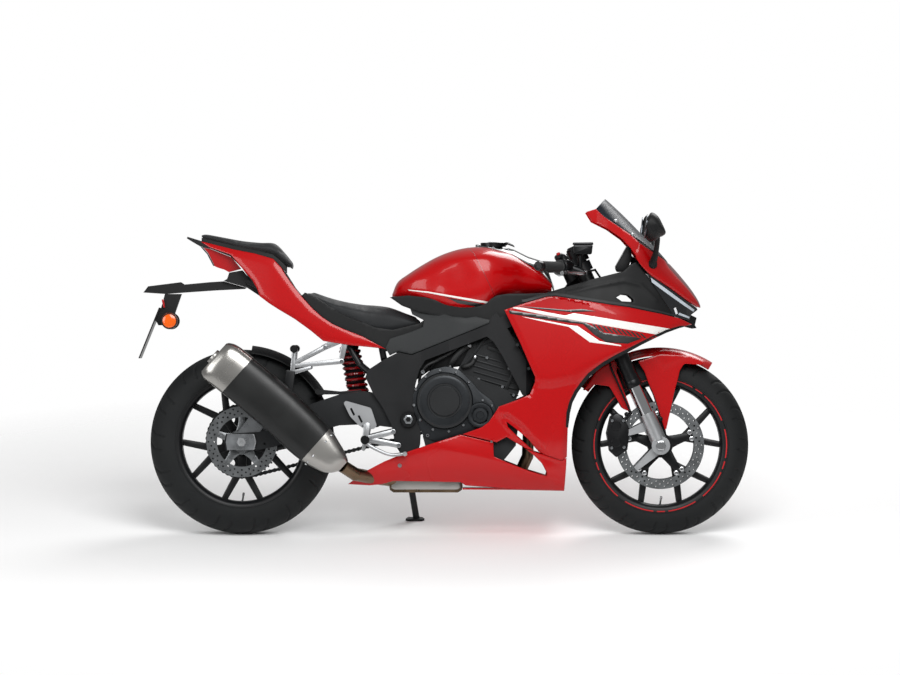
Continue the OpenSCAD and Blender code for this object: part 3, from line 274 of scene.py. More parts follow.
def panel(points, height, thick=3.5, holes=(), step=6.0, edge=2.2, side=-1):
    """A shell with that side view, as a net of triangles.

    Its outer face lies at height(x, z) from the middle plane, on the left for side 1 and the right for
    side -1.
    Near its edge the outer face falls away as a quarter circle of radius edge, and the inner face is
    thick further in.
    """
    loops = [outline(points, step * 0.6)] + [outline(h, step * 0.6) for h in holes]
    loops = [l if (signed_area(l) > 0) == (i == 0) else l[::-1] for i, l in enumerate(loops)]
    low, high = loops[0].min(0), loops[0].max(0)
    gx, gz = np.meshgrid(np.arange(low[0], high[0], step), np.arange(low[1], high[1], step * 0.866))
    gx[1::2] += step / 2
    net = np.stack([gx.ravel(), gz.ravel()], 1)
    border = np.vstack(loops)

    def within(p):
        """True for points inside the outline and outside its holes."""
        keep = inside(p, loops[0])
        for hole in loops[1:]:
            keep &= ~inside(p, hole)
        return keep

    net = net[within(net)]
    far = np.ones(len(net), bool)
    for l in loops:
        far &= edge_distance(net, l) > edge + step * 0.35
    rims = np.vstack([inset(l, edge * k) for l in loops for k in (0.3, 1.0)])
    near = np.full(len(rims), 1e9)
    for l in loops:
        near = np.minimum(near, edge_distance(rims, l))
    rims = rims[within(rims) & (near > edge * 0.2)]
    flat = np.vstack([border, rims, net[far]])
    links, start = [], 0
    for l in loops:
        links += [(start + i, start + (i + 1) % len(l)) for i in range(len(l))]
        start += len(l)
    verts, _, faces, _, _, _ = delaunay_2d_cdt([Vector(p) for p in flat], links, [], 0, 1e-4)
    flat = np.array([(v.x, v.y) for v in verts])
    tri = np.array(faces)
    tri = tri[within(flat[tri].mean(1))]
    used, back = np.unique(tri, return_inverse=True)
    tri, flat = back.reshape(-1, 3), flat[used]
    d = np.full(len(flat), 1e9)
    for l in loops:
        d = np.minimum(d, edge_distance(flat, l))
    drop = edge - np.sqrt(np.maximum(edge**2 - np.maximum(edge - d, 0) ** 2, 0))
    h = height(flat[:, 0], flat[:, 1])
    outer = np.stack([flat[:, 0], side * (h - drop), flat[:, 1]], 1)
    inner = np.stack([flat[:, 0], side * (h - max(thick, edge + 0.3)), flat[:, 1]], 1)
    pair = np.sort(np.vstack([tri[:, [0, 1]], tri[:, [1, 2]], tri[:, [2, 0]]]), 1)
    _, index, counts = np.unique(pair, axis=0, return_index=True, return_counts=True)
    directed = np.vstack([tri[:, [0, 1]], tri[:, [1, 2]], tri[:, [2, 0]]])[index[counts == 1]]
    n = len(flat)
    rim = np.stack([directed[:, 1], directed[:, 0], directed[:, 0] + n, directed[:, 1] + n], 1)
    return np.vstack([outer, inner]), tri.tolist() + (tri[:, ::-1] + n).tolist() + rim.tolist()


def flipped(shape):
    """The same shape on the other side of the bike."""
    points, faces = shape
    return points * np.array([1, -1, 1]), faces


def both(shape):
    """A shape and its mirror image on the other side of the bike."""
    return [shape, flipped(shape)]


def pairs(shapes):
    """Every shape of a list, each followed by its mirror image."""
    return [s for shape in shapes for s in both(shape)]


def volume(points, faces):
    """Six times the volume that the faces enclose, above 0 when they point outwards."""
    total = 0.0
    sizes = {}
    for f in faces:
        sizes.setdefault(len(f), []).append(f)
    for n, group in sizes.items():
        g = points[np.array(group)]
        for k in range(1, n - 1):
            total += np.einsum("ij,ij->i", g[:, 0], np.cross(g[:, k], g[:, k + 1])).sum()
    return total


def build(name, shapes, body, material, replaces=(), sharp=32):
    """One piece from closed shapes in bike mm: each is (points, faces) or has a material number too."""
    points, faces, marks, start = [], [], [], 0
    for shape in shapes:
        p, f = shape[0], shape[1]
        if volume(p - p.mean(0), f) < 0:
            f = [q[::-1] for q in f]
        points.append(p)
        faces += [[i + start for i in q] for q in f]
        marks += [shape[2] if len(shape) > 2 else 0] * len(f)
        start += len(p)
    mesh = bpy.data.meshes.new(name)
    mesh.from_pydata(place(np.vstack(points)).tolist(), [], faces)
    materials = material if isinstance(material, (list, tuple)) else [material]
    for m in materials:
        mesh.materials.append(m)
    mesh.polygons.foreach_set("material_index", marks)
    mesh.shade_smooth()
    mesh.set_sharp_from_angle(angle=math.radians(sharp))
    mesh.validate()
    piece = bpy.data.objects.new(name, mesh)
    bpy.context.scene.collection.objects.link(piece)
    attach(piece, body)
    if replaces:
        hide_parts(*([replaces] if isinstance(replaces, str) else replaces))
    return piece


# ---------------------------------------------------------------- materials


def linear(code):
    """An sRGB hex colour as linear red, green, blue and alpha."""
    parts = [int(code[i : i + 2], 16) / 255 for i in (1, 3, 5)]
    return [c / 12.92 if c <= 0.04045 else ((c + 0.055) / 1.055) ** 2.4 for c in parts] + [1.0]


def add(tree, kind, **values):
    """A node with its properties and unlinked inputs set; a value that is a socket is linked."""
    node = tree.nodes.new(kind)
    for key, value in values.items():
        target = node.inputs[key.replace("_", " ")] if key.replace("_", " ") in node.inputs else None
        if target is None:
            setattr(node, key, value)
        elif isinstance(value, bpy.types.NodeSocket):
            tree.links.new(value, target)
        else:
            target.default_value = value
    return node


def surface(name, colour, rough, metal=0.0, coat=0.0, grain=1.0, depth=0.02, blotch=60.0, vary=0.06,
            shade=0.0, **more):
    """A shader with a fine grain of grain mm and depth mm, and slow patches of blotch mm.

    The patches change the roughness by vary and darken the colour by shade.
    """
    made = bpy.data.materials.new(name)
    made.use_nodes = True
    tree = made.node_tree
    shader = tree.nodes["Principled BSDF"]
    where = add(tree, "ShaderNodeTexCoord").outputs["Object"]
    fine = add(tree, "ShaderNodeTexNoise", Vector=where, Scale=1000 / grain, Detail=3.0)
    slow = add(tree, "ShaderNodeTexNoise", Vector=where, Scale=1000 / blotch, Detail=4.0)
    bump = add(tree, "ShaderNodeBump", Height=fine.outputs["Fac"], Distance=depth / 1000, Strength=1.0)
    tree.links.new(bump.outputs["Normal"], shader.inputs["Normal"])
    spread = add(tree, "ShaderNodeMapRange", Value=slow.outputs["Fac"])
    for key, value in (("From Min", 0.3), ("From Max", 0.7), ("To Min", max(rough - vary, 0.02)),
                       ("To Max", rough + vary)):
        spread.inputs[key].default_value = value
    tree.links.new(spread.outputs["Result"], shader.inputs["Roughness"])
    if shade:
        dark = [c * (1 - shade) for c in linear(colour)[:3]] + [1.0]
        mix = add(tree, "ShaderNodeMix", data_type="RGBA")
        mix.inputs[0].default_value = 0.5
        tree.links.new(slow.outputs["Fac"], mix.inputs[0])
        mix.inputs[6].default_value = dark
        mix.inputs[7].default_value = linear(colour)
        tree.links.new(mix.outputs[2], shader.inputs["Base Color"])
    else:
        shader.inputs["Base Color"].default_value = linear(colour)
    shader.inputs["Metallic"].default_value = metal
    shader.inputs["Coat Weight"].default_value = coat
    shader.inputs["Coat Roughness"].default_value = 0.04
    for key, value in more.items():
        shader.inputs[key.replace("_", " ")].default_value = value
    return made


# lacquer over coloured base coat, sprayed: a little orange peel 6 mm across
RED = surface("red_lacquer_sprayed", "#ae0004", 0.28, coat=0.4, grain=6.0, depth=0.012, blotch=300.0,
              vary=0.03, Specular_IOR_Level=0.22)
# the same lacquer in a darker red: the spring's own colour, and painted shade along the line round the tank
RED_DARK_AND_PAINTED_SHADE = surface("dark_red_lacquer_and_painted_shade", "#8c0a10", 0.26, coat=1.0, grain=6.0, depth=0.012,
                   blotch=300.0, vary=0.03)
# white vinyl film, cut and laid on: an even colour with a soft gloss
WHITE_FILM = surface("white_film_cut", "#eceae6", 0.3, coat=0.8, grain=5.0, depth=0.008, blotch=200.0,
                     vary=0.03)
# black vinyl film, cut and laid on
BLACK_FILM = surface("black_film_cut", "#141414", 0.3, coat=0.8, grain=5.0, depth=0.008, blotch=200.0,
                     vary=0.03)
# polypropylene, moulded against an etched tool: matt black with a fine leather grain
PLASTIC = surface("black_polypropylene_grained", "#101112", 0.55, grain=1.1, depth=0.09, blotch=80.0,
                  vary=0.06, Specular_IOR_Level=0.28)
# polypropylene, the same tool finish, coloured dark grey: a little lighter where light grazes it
GREY_PLASTIC = surface("grey_polypropylene_grained", "#262829", 0.5, grain=1.1, depth=0.07, blotch=80.0,
                       vary=0.06, Specular_IOR_Level=0.3)
# ABS, moulded in a polished tool: black with a clear reflection
GLOSS = surface("black_plastic_polished", "#0e0f10", 0.18, coat=0.6, grain=6.0, depth=0.01, blotch=200.0,
                vary=0.04)
# steel, powder coated and baked: satin black with a soft pebble of 1.6 mm
POWDER = surface("black_powder_coat_baked", "#101113", 0.42, grain=1.6, depth=0.05, blotch=90.0, vary=0.06,
                 Specular_IOR_Level=0.32)
# aluminium, powder coated dark grey and baked: the same pebble, one shade lighter
FRAME_GREY = surface("dark_grey_powder_coat_baked", "#16181a", 0.4, grain=1.6, depth=0.05, blotch=90.0,
                     vary=0.06, Specular_IOR_Level=0.32)
# aluminium, sand cast and painted black: a coarse skin that breaks up its reflections
CAST = surface("black_aluminium_sand_cast", "#17191b", 0.48, metal=0.35, grain=1.8, depth=0.14, blotch=70.0,
               vary=0.08, shade=0.25)
# aluminium, die cast and coated dark: smoother and a little brighter than the block
COVER = surface("dark_aluminium_die_cast", "#26292c", 0.4, metal=0.6, grain=1.2, depth=0.06, blotch=60.0,
                vary=0.07, shade=0.2)
# aluminium, bead blasted: pale, even and without streaks
ALLOY = surface("aluminium_bead_blasted", "#b4b6b8", 0.36, metal=0.9, grain=0.9, depth=0.02, blotch=90.0,
                vary=0.05, shade=0.06)
# aluminium, polished: bright, with only soft marks
BRIGHT = surface("aluminium_polished", "#c9cbcd", 0.2, metal=1.0, grain=2.0, depth=0.01, blotch=50.0,
                 vary=0.05)
# steel, zinc plated: cool grey with slight patches
STEEL = surface("steel_zinc_plated", "#9c9fa2", 0.3, metal=1.0, grain=1.5, depth=0.02, blotch=30.0, vary=0.08,
                shade=0.2)
# stainless steel, ground flat: fine marks that dull the reflection
DISC = surface("stainless_steel_ground", "#8d9092", 0.3, metal=1.0, grain=0.7, depth=0.03, blotch=40.0,
               vary=0.08, shade=0.2)
# steel, hard chromed: close to a mirror
CHROME = surface("steel_hard_chromed", "#c6c8ca", 0.1, metal=1.0, grain=8.0, depth=0.004, blotch=90.0,
                 vary=0.03)
# aluminium, anodised black: a metallic black with a low sheen
ANODISED = surface("aluminium_black_anodised", "#101113", 0.32, metal=0.5, grain=1.5, depth=0.02, blotch=80.0,
                   vary=0.05)
# steel sleeve, sprayed with high-heat enamel: satin black, slightly patchy from heat
CANISTER = surface("steel_high_heat_enamel", "#1a1b1b", 0.36, metal=0.25, grain=1.5, depth=0.04, blotch=90.0,
                   vary=0.06, shade=0.15)
# stainless steel, brushed: warm grey with a broad soft highlight
BRUSHED = surface("stainless_steel_brushed", "#aeaca8", 0.3, metal=1.0, grain=0.6, depth=0.006, blotch=220.0,
                  vary=0.04, shade=0.05)
# stainless steel, tinted by heat: straw and brown patches along the pipe
PIPE = surface("stainless_steel_heat_tinted", "#85715c", 0.32, metal=1.0, grain=1.2, depth=0.03, blotch=45.0,
               vary=0.1, shade=0.5)
# steel plates, pressed and oiled: dark grey with a wet gleam
CHAIN = surface("chain_steel_oiled", "#4a4c4d", 0.34, metal=0.9, grain=1.0, depth=0.03, blotch=20.0, vary=0.1,
                shade=0.4)
# tyre rubber, vulcanised in a mould: matt black that greys where it is worn
RUBBER = surface("tyre_rubber_vulcanised", "#141617", 0.72, grain=1.0, depth=0.08, blotch=120.0, vary=0.07,
                 shade=0.2, Specular_IOR_Level=0.3)
# rubber, moulded: dull black
GRIP = surface("grip_rubber_moulded", "#161718", 0.7, grain=0.8, depth=0.08, blotch=60.0, vary=0.06)
# rubber, extruded over a braid: smooth dull black
HOSE = surface("rubber_hose_extruded", "#151617", 0.6, grain=0.9, depth=0.03, blotch=50.0, vary=0.06)
# vinyl sheet, embossed with a pebble of 1.7 mm, drawn a little coarser than life so that it shows
VINYL = surface("seat_vinyl_embossed", "#1b1d1f", 0.62, grain=1.7, depth=0.16, blotch=90.0, vary=0.06,
                Sheen_Weight=0.12, Specular_IOR_Level=0.35)
# aluminium fins, dipped black: a fine broken surface
RADIATOR = surface("aluminium_fins_black_dipped", "#2a2c2e", 0.5, metal=0.5, grain=1.2, depth=0.3,
                   blotch=60.0, vary=0.06)
# polycarbonate, moulded and smoked: dark grey that lets a little light through
SMOKE = surface("polycarbonate_smoked_moulded", "#1b2028", 0.38, grain=8.0, depth=0.003, blotch=200.0,
                vary=0.02,
                Alpha=0.84, Specular_IOR_Level=0.25)
# polycarbonate, tinted, over red lacquer: a deep wine red
TINT = surface("polycarbonate_tinted_over_red", "#6a1418", 0.2, coat=0.4, grain=8.0, depth=0.004,
               blotch=200.0, vary=0.02)
# lamp housing, moulded black: smooth with a faint sheen
LAMP_BLACK = surface("lamp_housing_black_moulded", "#15171a", 0.22, coat=0.5, grain=4.0, depth=0.01,
                     blotch=70.0, vary=0.05)
# acrylic, moulded with a frosted back: pale grey when unlit
LIGHT_BAR = surface("lamp_bar_frosted", "#c3ccd4", 0.25, grain=2.0, depth=0.01, blotch=40.0, vary=0.05)
# acrylic, moulded clear over a white reflector
LED = surface("lamp_lens_bright", "#f4f6f8", 0.12, grain=3.0, depth=0.01, blotch=40.0, vary=0.04)
# acrylic, moulded orange: glossy and evenly coloured
ORANGE = surface("acrylic_orange_moulded", "#ea5f00", 0.14, coat=0.5, grain=3.0, depth=0.02, blotch=40.0,
                 vary=0.04)
# acrylic, moulded red: glossy and evenly coloured
RED_LENS = surface("acrylic_red_moulded", "#a80f14", 0.14, coat=0.5, grain=3.0, depth=0.02, blotch=40.0,
                   vary=0.04)
# red vinyl film, cut in short strips for the wheel rims
PINSTRIPE = surface("red_film_cut", "#c4121a", 0.35, grain=3.0, depth=0.006, blotch=60.0, vary=0.04)
# glass, silvered: a darkened mirror
MIRROR = surface("glass_silvered", "#5a5f64", 0.15, metal=1.0, grain=9.0, depth=0.001, blotch=90.0, vary=0.01)
# glass, hardened, over a dark display
DISPLAY = surface("instrument_glass_dark", "#0b0d10", 0.06, coat=0.8, grain=9.0, depth=0.001, blotch=90.0,
                  vary=0.01)

CAD_LOOKS = {
    "main_frame": POWDER, "swingarm": FRAME_GREY, "rear_axle": STEEL, "shock_absorber": POWDER,
    "rear_hugger": PLASTIC, "engine": CAST, "radiator": RADIATOR, "exhaust_headers": PIPE,
    "tail_undertray": PLASTIC, "tail_light": RED_LENS, "plate_bracket": PLASTIC, "number_plate": GLOSS,
    "fuel_cap": ANODISED, "headlight": LAMP_BLACK, "front_fork": ANODISED, "fork_sliders": ALLOY,
    "front_brakes": ANODISED, "handlebars": POWDER, "side_stand": POWDER}
for node, look in CAD_LOOKS.items():
    mesh = NODES[node].data
    if not mesh.materials:
        mesh.materials.append(look)
    for i in range(len(mesh.materials)):
        mesh.materials[i] = look

# ---------------------------------------------------------------- wheels


def around(shape, centre, angle):
    """A shape worked out about the y axis, turned from x towards z and moved to an axle."""
    p, f = shape
    c, s = math.cos(math.radians(angle)), math.sin(math.radians(angle))
    return np.stack([centre[0] + p[:, 0] * c - p[:, 2] * s, p[:, 1], centre[1] + p[:, 0] * s + p[:, 2] * c],
                    1), f


def tread_tyre(centre, radius, half, arc, bead, groups):
    """Tyre whose tread is an ellipse of that half width and height, cut by pairs of slanting grooves.

    Across the tread runs the angle t, from 0 at one side to 180 degrees at the other. Each group has a
    long groove
    that bends from near the middle to the shoulder, and a short one between it and the next.
    """
    t = np.radians(np.linspace(-4, 184, 80))
    a = full_turn(640)
    base = radius - arc
    y = half * np.cos(t)
    r = base + arc * np.sin(t)
    pitch = 2 * math.pi / groups
    across = y / half
    lines = [([0.10, 0.00], [0.34, 0.16], [0.62, 0.30], [0.88, 0.36]),
             ([0.30, 0.52], [0.56, 0.66], [0.80, 0.72]),
             ([0.06, 0.50], [0.20, 0.60])]
    cut = np.zeros((len(t), len(a)))
    for sign, shift in ((1, 0.0), (-1, 0.5)):
        u = (a / pitch + shift) % 1.0
        for line in lines:
            for p, q in zip(line[:-1], line[1:]):
                p, q = np.array(p), np.array(q)
                size = np.array([half, pitch * radius])
                point = np.stack(np.broadcast_arrays(sign * across[:, None], u[None, :]), -1)
                for wrap in (-1, 0, 1):
                    d = (q - p) * size
                    v = (point + [0, wrap] - p) * size
                    k = np.clip((v * d).sum(-1) / (d @ d), 0, 1)
                    gap = np.linalg.norm(v - k[..., None] * d, axis=-1)
                    cut = np.maximum(cut, np.clip((4.6 - gap) / 2.2, 0, 1))
    depth = 3.4 * cut
    nx, nr = np.cos(t) / half, np.sin(t) / arc
    length = np.hypot(nx, nr)
    yy = y[:, None] - depth * (nx / length)[:, None]
    rr = r[:, None] - depth * (nr / length)[:, None]
    low = base + arc * math.sin(t[0])

    def ring(h, q):
        """One closed row of the side wall at height q, h out from the middle."""
        return np.full((1, len(a)), h), np.full((1, len(a)), q)

    sides = [(half * 0.985, low - 5), (half * 0.94, 252.0), (half * 0.945, 249.5), (half * 0.91, 243.0),
             (bead + 6.5, 234.6),
             (bead + 2.0, 231.6), (bead - 1.5, 226), (bead - 3, 219), (0, 219)]
    left = [ring(h, q) for h, q in sides]
    right = [ring(-h, q) for h, q in sides[::-1]][1:]
    yy = np.vstack([yy] + [x[0] for x in right] + [x[0] for x in left[::-1]])
    rr = np.vstack([rr] + [x[1] for x in right] + [x[1] for x in left[::-1]])
    p = np.stack([centre[0] + rr * np.cos(a), yy, centre[1] + rr * np.sin(a)], -1)
    return loft(p, wrap=True)


def wheel(centre, bead, hub_r, hub_half, first, name, body):
    """Cast wheel: a rim turned about the axle, a hub, and five spokes that fork towards the rim."""
    rim = [(-bead - 6, 231), (-bead - 4.5, 232), (-bead - 1.5, 232), (-bead, 230), (-bead + 0.5, 221),
           (-bead + 4, 218.5),
           (-bead + 22, 217), (0, 214), (bead - 22, 217), (bead - 4, 218.5), (bead - 0.5, 221), (bead, 230),
           (bead + 1.5, 232),
           (bead + 4.5, 232), (bead + 6, 231), (bead + 6, 217), (bead + 3, 210), (bead - 8, 204),
           (bead - 24, 202), (0, 201),
           (-bead + 24, 202), (-bead + 8, 204), (-bead - 3, 210), (-bead - 6, 217)]
    hub = [(-hub_half, 0), (-hub_half, hub_r - 2), (-hub_half + 2, hub_r), (-24, hub_r + 1), (-12, hub_r + 6),
           (12, hub_r + 6),
           (24, hub_r + 1), (hub_half - 2, hub_r), (hub_half, hub_r - 2), (hub_half, 0)]
    shapes = [turned(rim, centre, 160, wrap=True), turned([(y, max(r, 10.2)) for y, r in hub], centre, 48)]
    arms = [(hub_r - 6, -18), (60, -14), (80, -13), (193, -72), (204.5, -55), (116, -3.5), (116, 3.5),
            (204.5, 55),
            (193, 72), (80, 13), (60, 14), (hub_r - 6, 18)]
    for i in range(5):
        shapes.append(around(slab(arms, -13, 13, edge=5.0, corner=12.0), centre, first + i * 72))
        web = slab([(206, -66), (214, -60), (214, 60), (206, 66), (203, 40), (203, -40)], -8, 8, 2.0)
        shapes.append(around(web, centre, first + i * 72))
    build(name, shapes, body, POWDER, name, sharp=40)
    stripes = []
    for side in (-1, 1):
        for i in range(5):
            for start, sweep in ((4, 26), (33, 7), (43, 25)):
                a = np.radians(first + i * 72 + np.linspace(start, start + sweep, 3 + sweep))
                y0, y1 = side * (bead + 5.6), side * (bead + 6.5)
                rows = [(y0, 222.4), (y1, 222.4), (y1, 226.2), (y0, 226.2)]
                rings = np.stack([np.stack([centre[0] + r * np.cos(a), np.full(len(a), y),
                                            centre[1] + r * np.sin(a)], -1)
                                  for y, r in rows], 1)
                stripes.append(loft(rings))
    build(name + "_pinstripe", stripes, body, PINSTRIPE)
    valve = [(0, 4.5), (3, 4.5), (4, 3.2), (22, 3.2), (22, 4.2), (30, 4.2), (31, 3)]
    base = np.array([centre[0], 0, centre[1] - 203])
    stem = along(valve, base, [0.15, -0.3, 1.0], 14)
    build(name + "_valve", [stem], body, BRIGHT)


def drilled_ring(outer, inner, hole_r, rows, y0, y1, waves=0):
    """Flat ring with rows of holes: each row is (radius, count, first angle)."""
    a = full_turn(144)
    edge = outer - (2.2 * (0.5 - 0.5 * np.cos(a * waves)) if waves else 0)
    circle = np.stack([edge * np.cos(a), edge * np.sin(a)], 1)
    b = a[::2]
    holes = [np.stack([inner * np.cos(b), inner * np.sin(b)], 1)]
    c = full_turn(10)
    for radius, count, start in rows:
        for k in range(count):
            t = math.radians(start + k * 360 / count)
            holes.append(np.stack([radius * math.cos(t) + hole_r * np.cos(c), radius * math.sin(t)
                                   + hole_r * np.sin(c)], 1))
    return plate(circle, holes, y0, y1)


def plate(points, holes, y0, y1):
    """Flat plate with holes and square edges."""
    loops = [np.asarray(points, float)] + [np.asarray(h, float) for h in holes]
    loops = [l if (signed_area(l) > 0) == (i == 0) else l[::-1] for i, l in enumerate(loops)]
    flat = np.vstack(loops)
    links, start = [], 0
    for l in loops:
        links += [(start + i, start + (i + 1) % len(l)) for i in range(len(l))]
        start += len(l)
    verts, _, faces, _, _, _ = delaunay_2d_cdt([Vector(p) for p in flat], links, [], 0, 1e-5)
    flat = np.array([(v.x, v.y) for v in verts])
    tri = np.array(faces)
    middle = flat[tri].mean(1)
    keep = inside(middle, loops[0])
    for hole in loops[1:]:
        keep &= ~inside(middle, hole)
    tri = tri[keep]
    n = len(flat)
    directed = np.vstack([tri[:, [0, 1]], tri[:, [1, 2]], tri[:, [2, 0]]])
    key = np.sort(directed, 1)
    _, index, counts = np.unique(key, axis=0, return_index=True, return_counts=True)
    rim = directed[index[counts == 1]]
    walls = np.stack([rim[:, 1], rim[:, 0], rim[:, 0] + n, rim[:, 1] + n], 1)
    top = np.stack([flat[:, 0], np.full(n, y1), flat[:, 1]], 1)
    low = np.stack([flat[:, 0], np.full(n, y0), flat[:, 1]], 1)
    return np.vstack([top, low]), tri.tolist() + (tri[:, ::-1] + n).tolist() + walls.tolist()


FRONT_C = (WHEELBASE, FRONT_R)
REAR_C = (0.0, REAR_R)
wheel(FRONT_C, 44, 34, 60, 18, "front_wheel", "front_wheel_assembly")
wheel(REAR_C, 62, 44, 72, 54, "rear_wheel", "rear_wheel_assembly")
build("front_tyre", [tread_tyre(FRONT_C, FRONT_R, 60, 62, 44, 16)], "front_wheel_assembly", RUBBER,
      "front_tyre", 50)
build("rear_tyre", [tread_tyre(REAR_C, REAR_R, 80, 80, 62, 14)], "rear_wheel_assembly", RUBBER,
      "rear_tyre", 50)

front_ring = drilled_ring(148, 115, 3.4, [(141, 30, 0), (132, 30, 6), (123, 30, 0)], 60.5, 65.0, waves=0)
carrier_arms = []
for i in range(5):
    vee = [(28, -22), (60, -16), (92, -12), (100, -8), (100, 8), (92, 12), (60, 16), (28, 22)]
    carrier_arms.append(around(slab(vee, 61, 64.6, 1.0, 6.0), FRONT_C, 18 + i * 72))
carrier_arms.append(turned([(60.6, 15.2), (60.6, 40), (62, 42), (64.8, 41), (65, 15.2)], FRONT_C, 48))
bobbins = []
for i in range(5):
    for da in (-6, 6):
        a = math.radians(18 + i * 72 + da)
        c = (FRONT_C[0] + 108 * math.cos(a), FRONT_C[1] + 108 * math.sin(a))
        bobbins.append(turned([(60.2, 0.1), (60.2, 8), (65.6, 8), (66.2, 7), (66.2, 3.4), (64, 3), (64, 0.1)],
                              c, 16))
spokes = [around(slab([(95, -5), (112, -13), (118, -13), (118, 13), (112, 13), (95, 5)], 60.8, 64.4, 0.8),
                 FRONT_C, 18 + i * 72)
          for i in range(5)]
build("front_disc_rings", both(around(front_ring, FRONT_C, 0)), "front_wheel_assembly", DISC,
      "front_discs", 30)
build("front_disc_carriers", pairs(carrier_arms + spokes), "front_wheel_assembly", ANODISED)
build("front_disc_bobbins", pairs(bobbins), "front_wheel_assembly", BRIGHT)

# ---------------------------------------------------------------- painted panels


def soft_table(xs, zs, widths, blur=26.0):
    """Half width as a function of x and z: a table read between its points, then blurred by blur mm."""
    gx = np.arange(xs[0] - 40, xs[-1] + 45, 5.0)
    gz = np.arange(zs[0] - 40, zs[-1] + 45, 5.0)
    w = np.array([np.interp(gz, zs, row) for row in widths])
    w = np.array([np.interp(gx, xs, w[:, j]) for j in range(len(gz))]).T
    k = bell(np.arange(-18, 19) * 5.0, blur)
    k /= k.sum()
    pad = np.pad(w, 18, mode="edge")
    pad = np.apply_along_axis(lambda v: np.convolve(v, k, "same"), 0, pad)
    pad = np.apply_along_axis(lambda v: np.convolve(v, k, "same"), 1, pad)
    w = pad[18:-18, 18:-18]

    def value(x, z):
        """The table's value at x and z, straight between its nearest four cells."""
        u = np.clip((np.asarray(x, float) - gx[0]) / 5.0, 0, len(gx) - 1.001)
        v = np.clip((np.asarray(z, float) - gz[0]) / 5.0, 0, len(gz) - 1.001)
        i, j = u.astype(int), v.astype(int)
        u, v = u - i, v - j
        low = w[i, j] * (1 - u) + w[i + 1, j] * u
        high = w[i, j + 1] * (1 - u) + w[i + 1, j + 1] * u
        return low * (1 - v) + high * v
    return value


def signed(x, z, line):
    """Distance from a line, above 0 on its left as it is walked."""
    p = np.stack([np.ravel(x), np.ravel(z)], 1)
    line = np.asarray(line, float)
    best, sign = np.full(len(p), 1e9), np.ones(len(p))
    for a, b in zip(line[:-1], line[1:]):
        d = b - a
        t = np.clip(((p - a) @ d) / (d @ d), 0, 1)
        v = p - a - t[:, None] * d
        r = np.linalg.norm(v, axis=1)
        side = np.where(d[0] * v[:, 1] - d[1] * v[:, 0] >= 0, 1.0, -1.0)
        near = r < best
        best, sign = np.where(near, r, best), np.where(near, side, sign)
    return (best * sign).reshape(np.shape(x))


def ridge(x, z, line, rise, width):
    """A bead along a line: a bell curve of that rise and width."""
    d = signed(x, z, line)
    return rise * bell(d, width)


def facet(x, z, line, slope, reach, soft=3.0):
    """Bends the panel along a line: it falls away on the left by slope times the distance, out to reach."""
    d = np.clip(signed(x, z, line), -60.0, reach)
    return -slope * soft * np.log1p(np.exp(np.clip(d / soft, -40, 40)))


FAIR_XS = [340, 500, 640, 760, 880, 1000, 1100, 1200, 1300, 1400, 1480, 1560]
FAIR_ZS = [120, 170, 220, 300, 400, 500, 600, 700, 830]
FAIR_W = [[96, 122, 136, 146, 150, 150, 150, 150, 150], [104, 134, 152, 164, 168, 170, 170, 170, 170],
          [108, 142, 162, 180, 186, 190, 190, 188, 186], [110, 146, 168, 190, 198, 202, 202, 200, 196],
          [112, 148, 174, 197, 206, 210, 210, 206, 200], [112, 148, 174, 198, 208, 214, 215, 211, 203],
          [108, 142, 168, 192, 205, 214, 216, 212, 202], [100, 132, 158, 182, 197, 208, 212, 207, 194],
          [88, 118, 142, 165, 181, 194, 199, 193, 176], [70, 94, 116, 138, 155, 168, 172, 164, 142],
          [40, 60, 76, 96, 112, 126, 130, 121, 98], [10, 14, 20, 30, 42, 54, 58, 50, 32]]
fair_base = soft_table(FAIR_XS, FAIR_ZS, FAIR_W)


def fairing_height(x, z):
    """Outer face of the side fairing, with its fold lines."""
    h = fair_base(x, z) + 2.0
    h = h + facet(x, z, [(1522, 712), (1480, 714), (1400, 727), (1300, 745), (1190, 770)][::-1], 0.24, 36,
                  3.5)
    h = h + facet(x, z, [(1360, 650), (1200, 590), (1110, 545), (1040, 530), (960, 532)], 0.24, 42, 4.0)
    h = h + facet(x, z, [(1085, 208), (985, 305), (905, 385), (868, 430)], 0.26, 34, 4.0)
    rim = [(1522, 708), (1478, 697), (1435, 682), (1392, 662), (1349, 641), (1305, 617), (1262, 595),
           (1219, 569), (1176, 535),
           (1150, 504), (1132, 479), (1115, 444), (1106, 409), (1100, 360), (1097, 262)]
    d = np.abs(signed(x, z, rim))
    h = h - 9.0 * bell(d, 7.5)
    back = [(886, 757), (938, 649), (989, 532), (989, 514), (972, 473)]
    h = h - 5.0 * bell(np.abs(signed(x, z, back)), 6.0)
    lip = [(1010, 270), (975, 312), (943, 354), (895, 392)]
    h = h - 8.0 * bell(np.abs(signed(x, z, lip)), 9.0)
    return h


FAIR_LINE = [(886, 757), (959, 781), (1029, 801), (1059, 803), (1253, 773), (1305, 766), (1413, 744),
             (1478, 729), (1522, 708),
             (1478, 697), (1435, 682), (1392, 662), (1349, 641), (1305, 617), (1262, 595), (1219, 569),
             (1176, 535), (1150, 504),
             (1132, 479), (1115, 444), (1106, 409), (1100, 360), (1097, 262), (1080, 250), (957, 291),
             (894, 329), (860, 311),
             (744, 338), (791, 355), (812, 363), (834, 380), (855, 411), (868, 432), (929, 454), (972, 473),
             (989, 514), (989, 532),
             (938, 649)]
FAIR_SLOT = [(894, 380), (899, 363), (929, 333), (972, 294), (998, 275), (1005, 277), (989, 294), (968, 320),
             (938, 346), (912, 367)]


def side_pair(names, points, height, body, material, nodes, holes=(), thick=4.0, step=6.0, edge=2.2):
    """The right and the left copy of a panel, each its own piece."""
    shape = panel(points, height, thick, holes, step, edge, -1)
    build(names[0], [shape], body, material, nodes[0])
    build(names[1], [flipped(shape)], body, material, nodes[1])


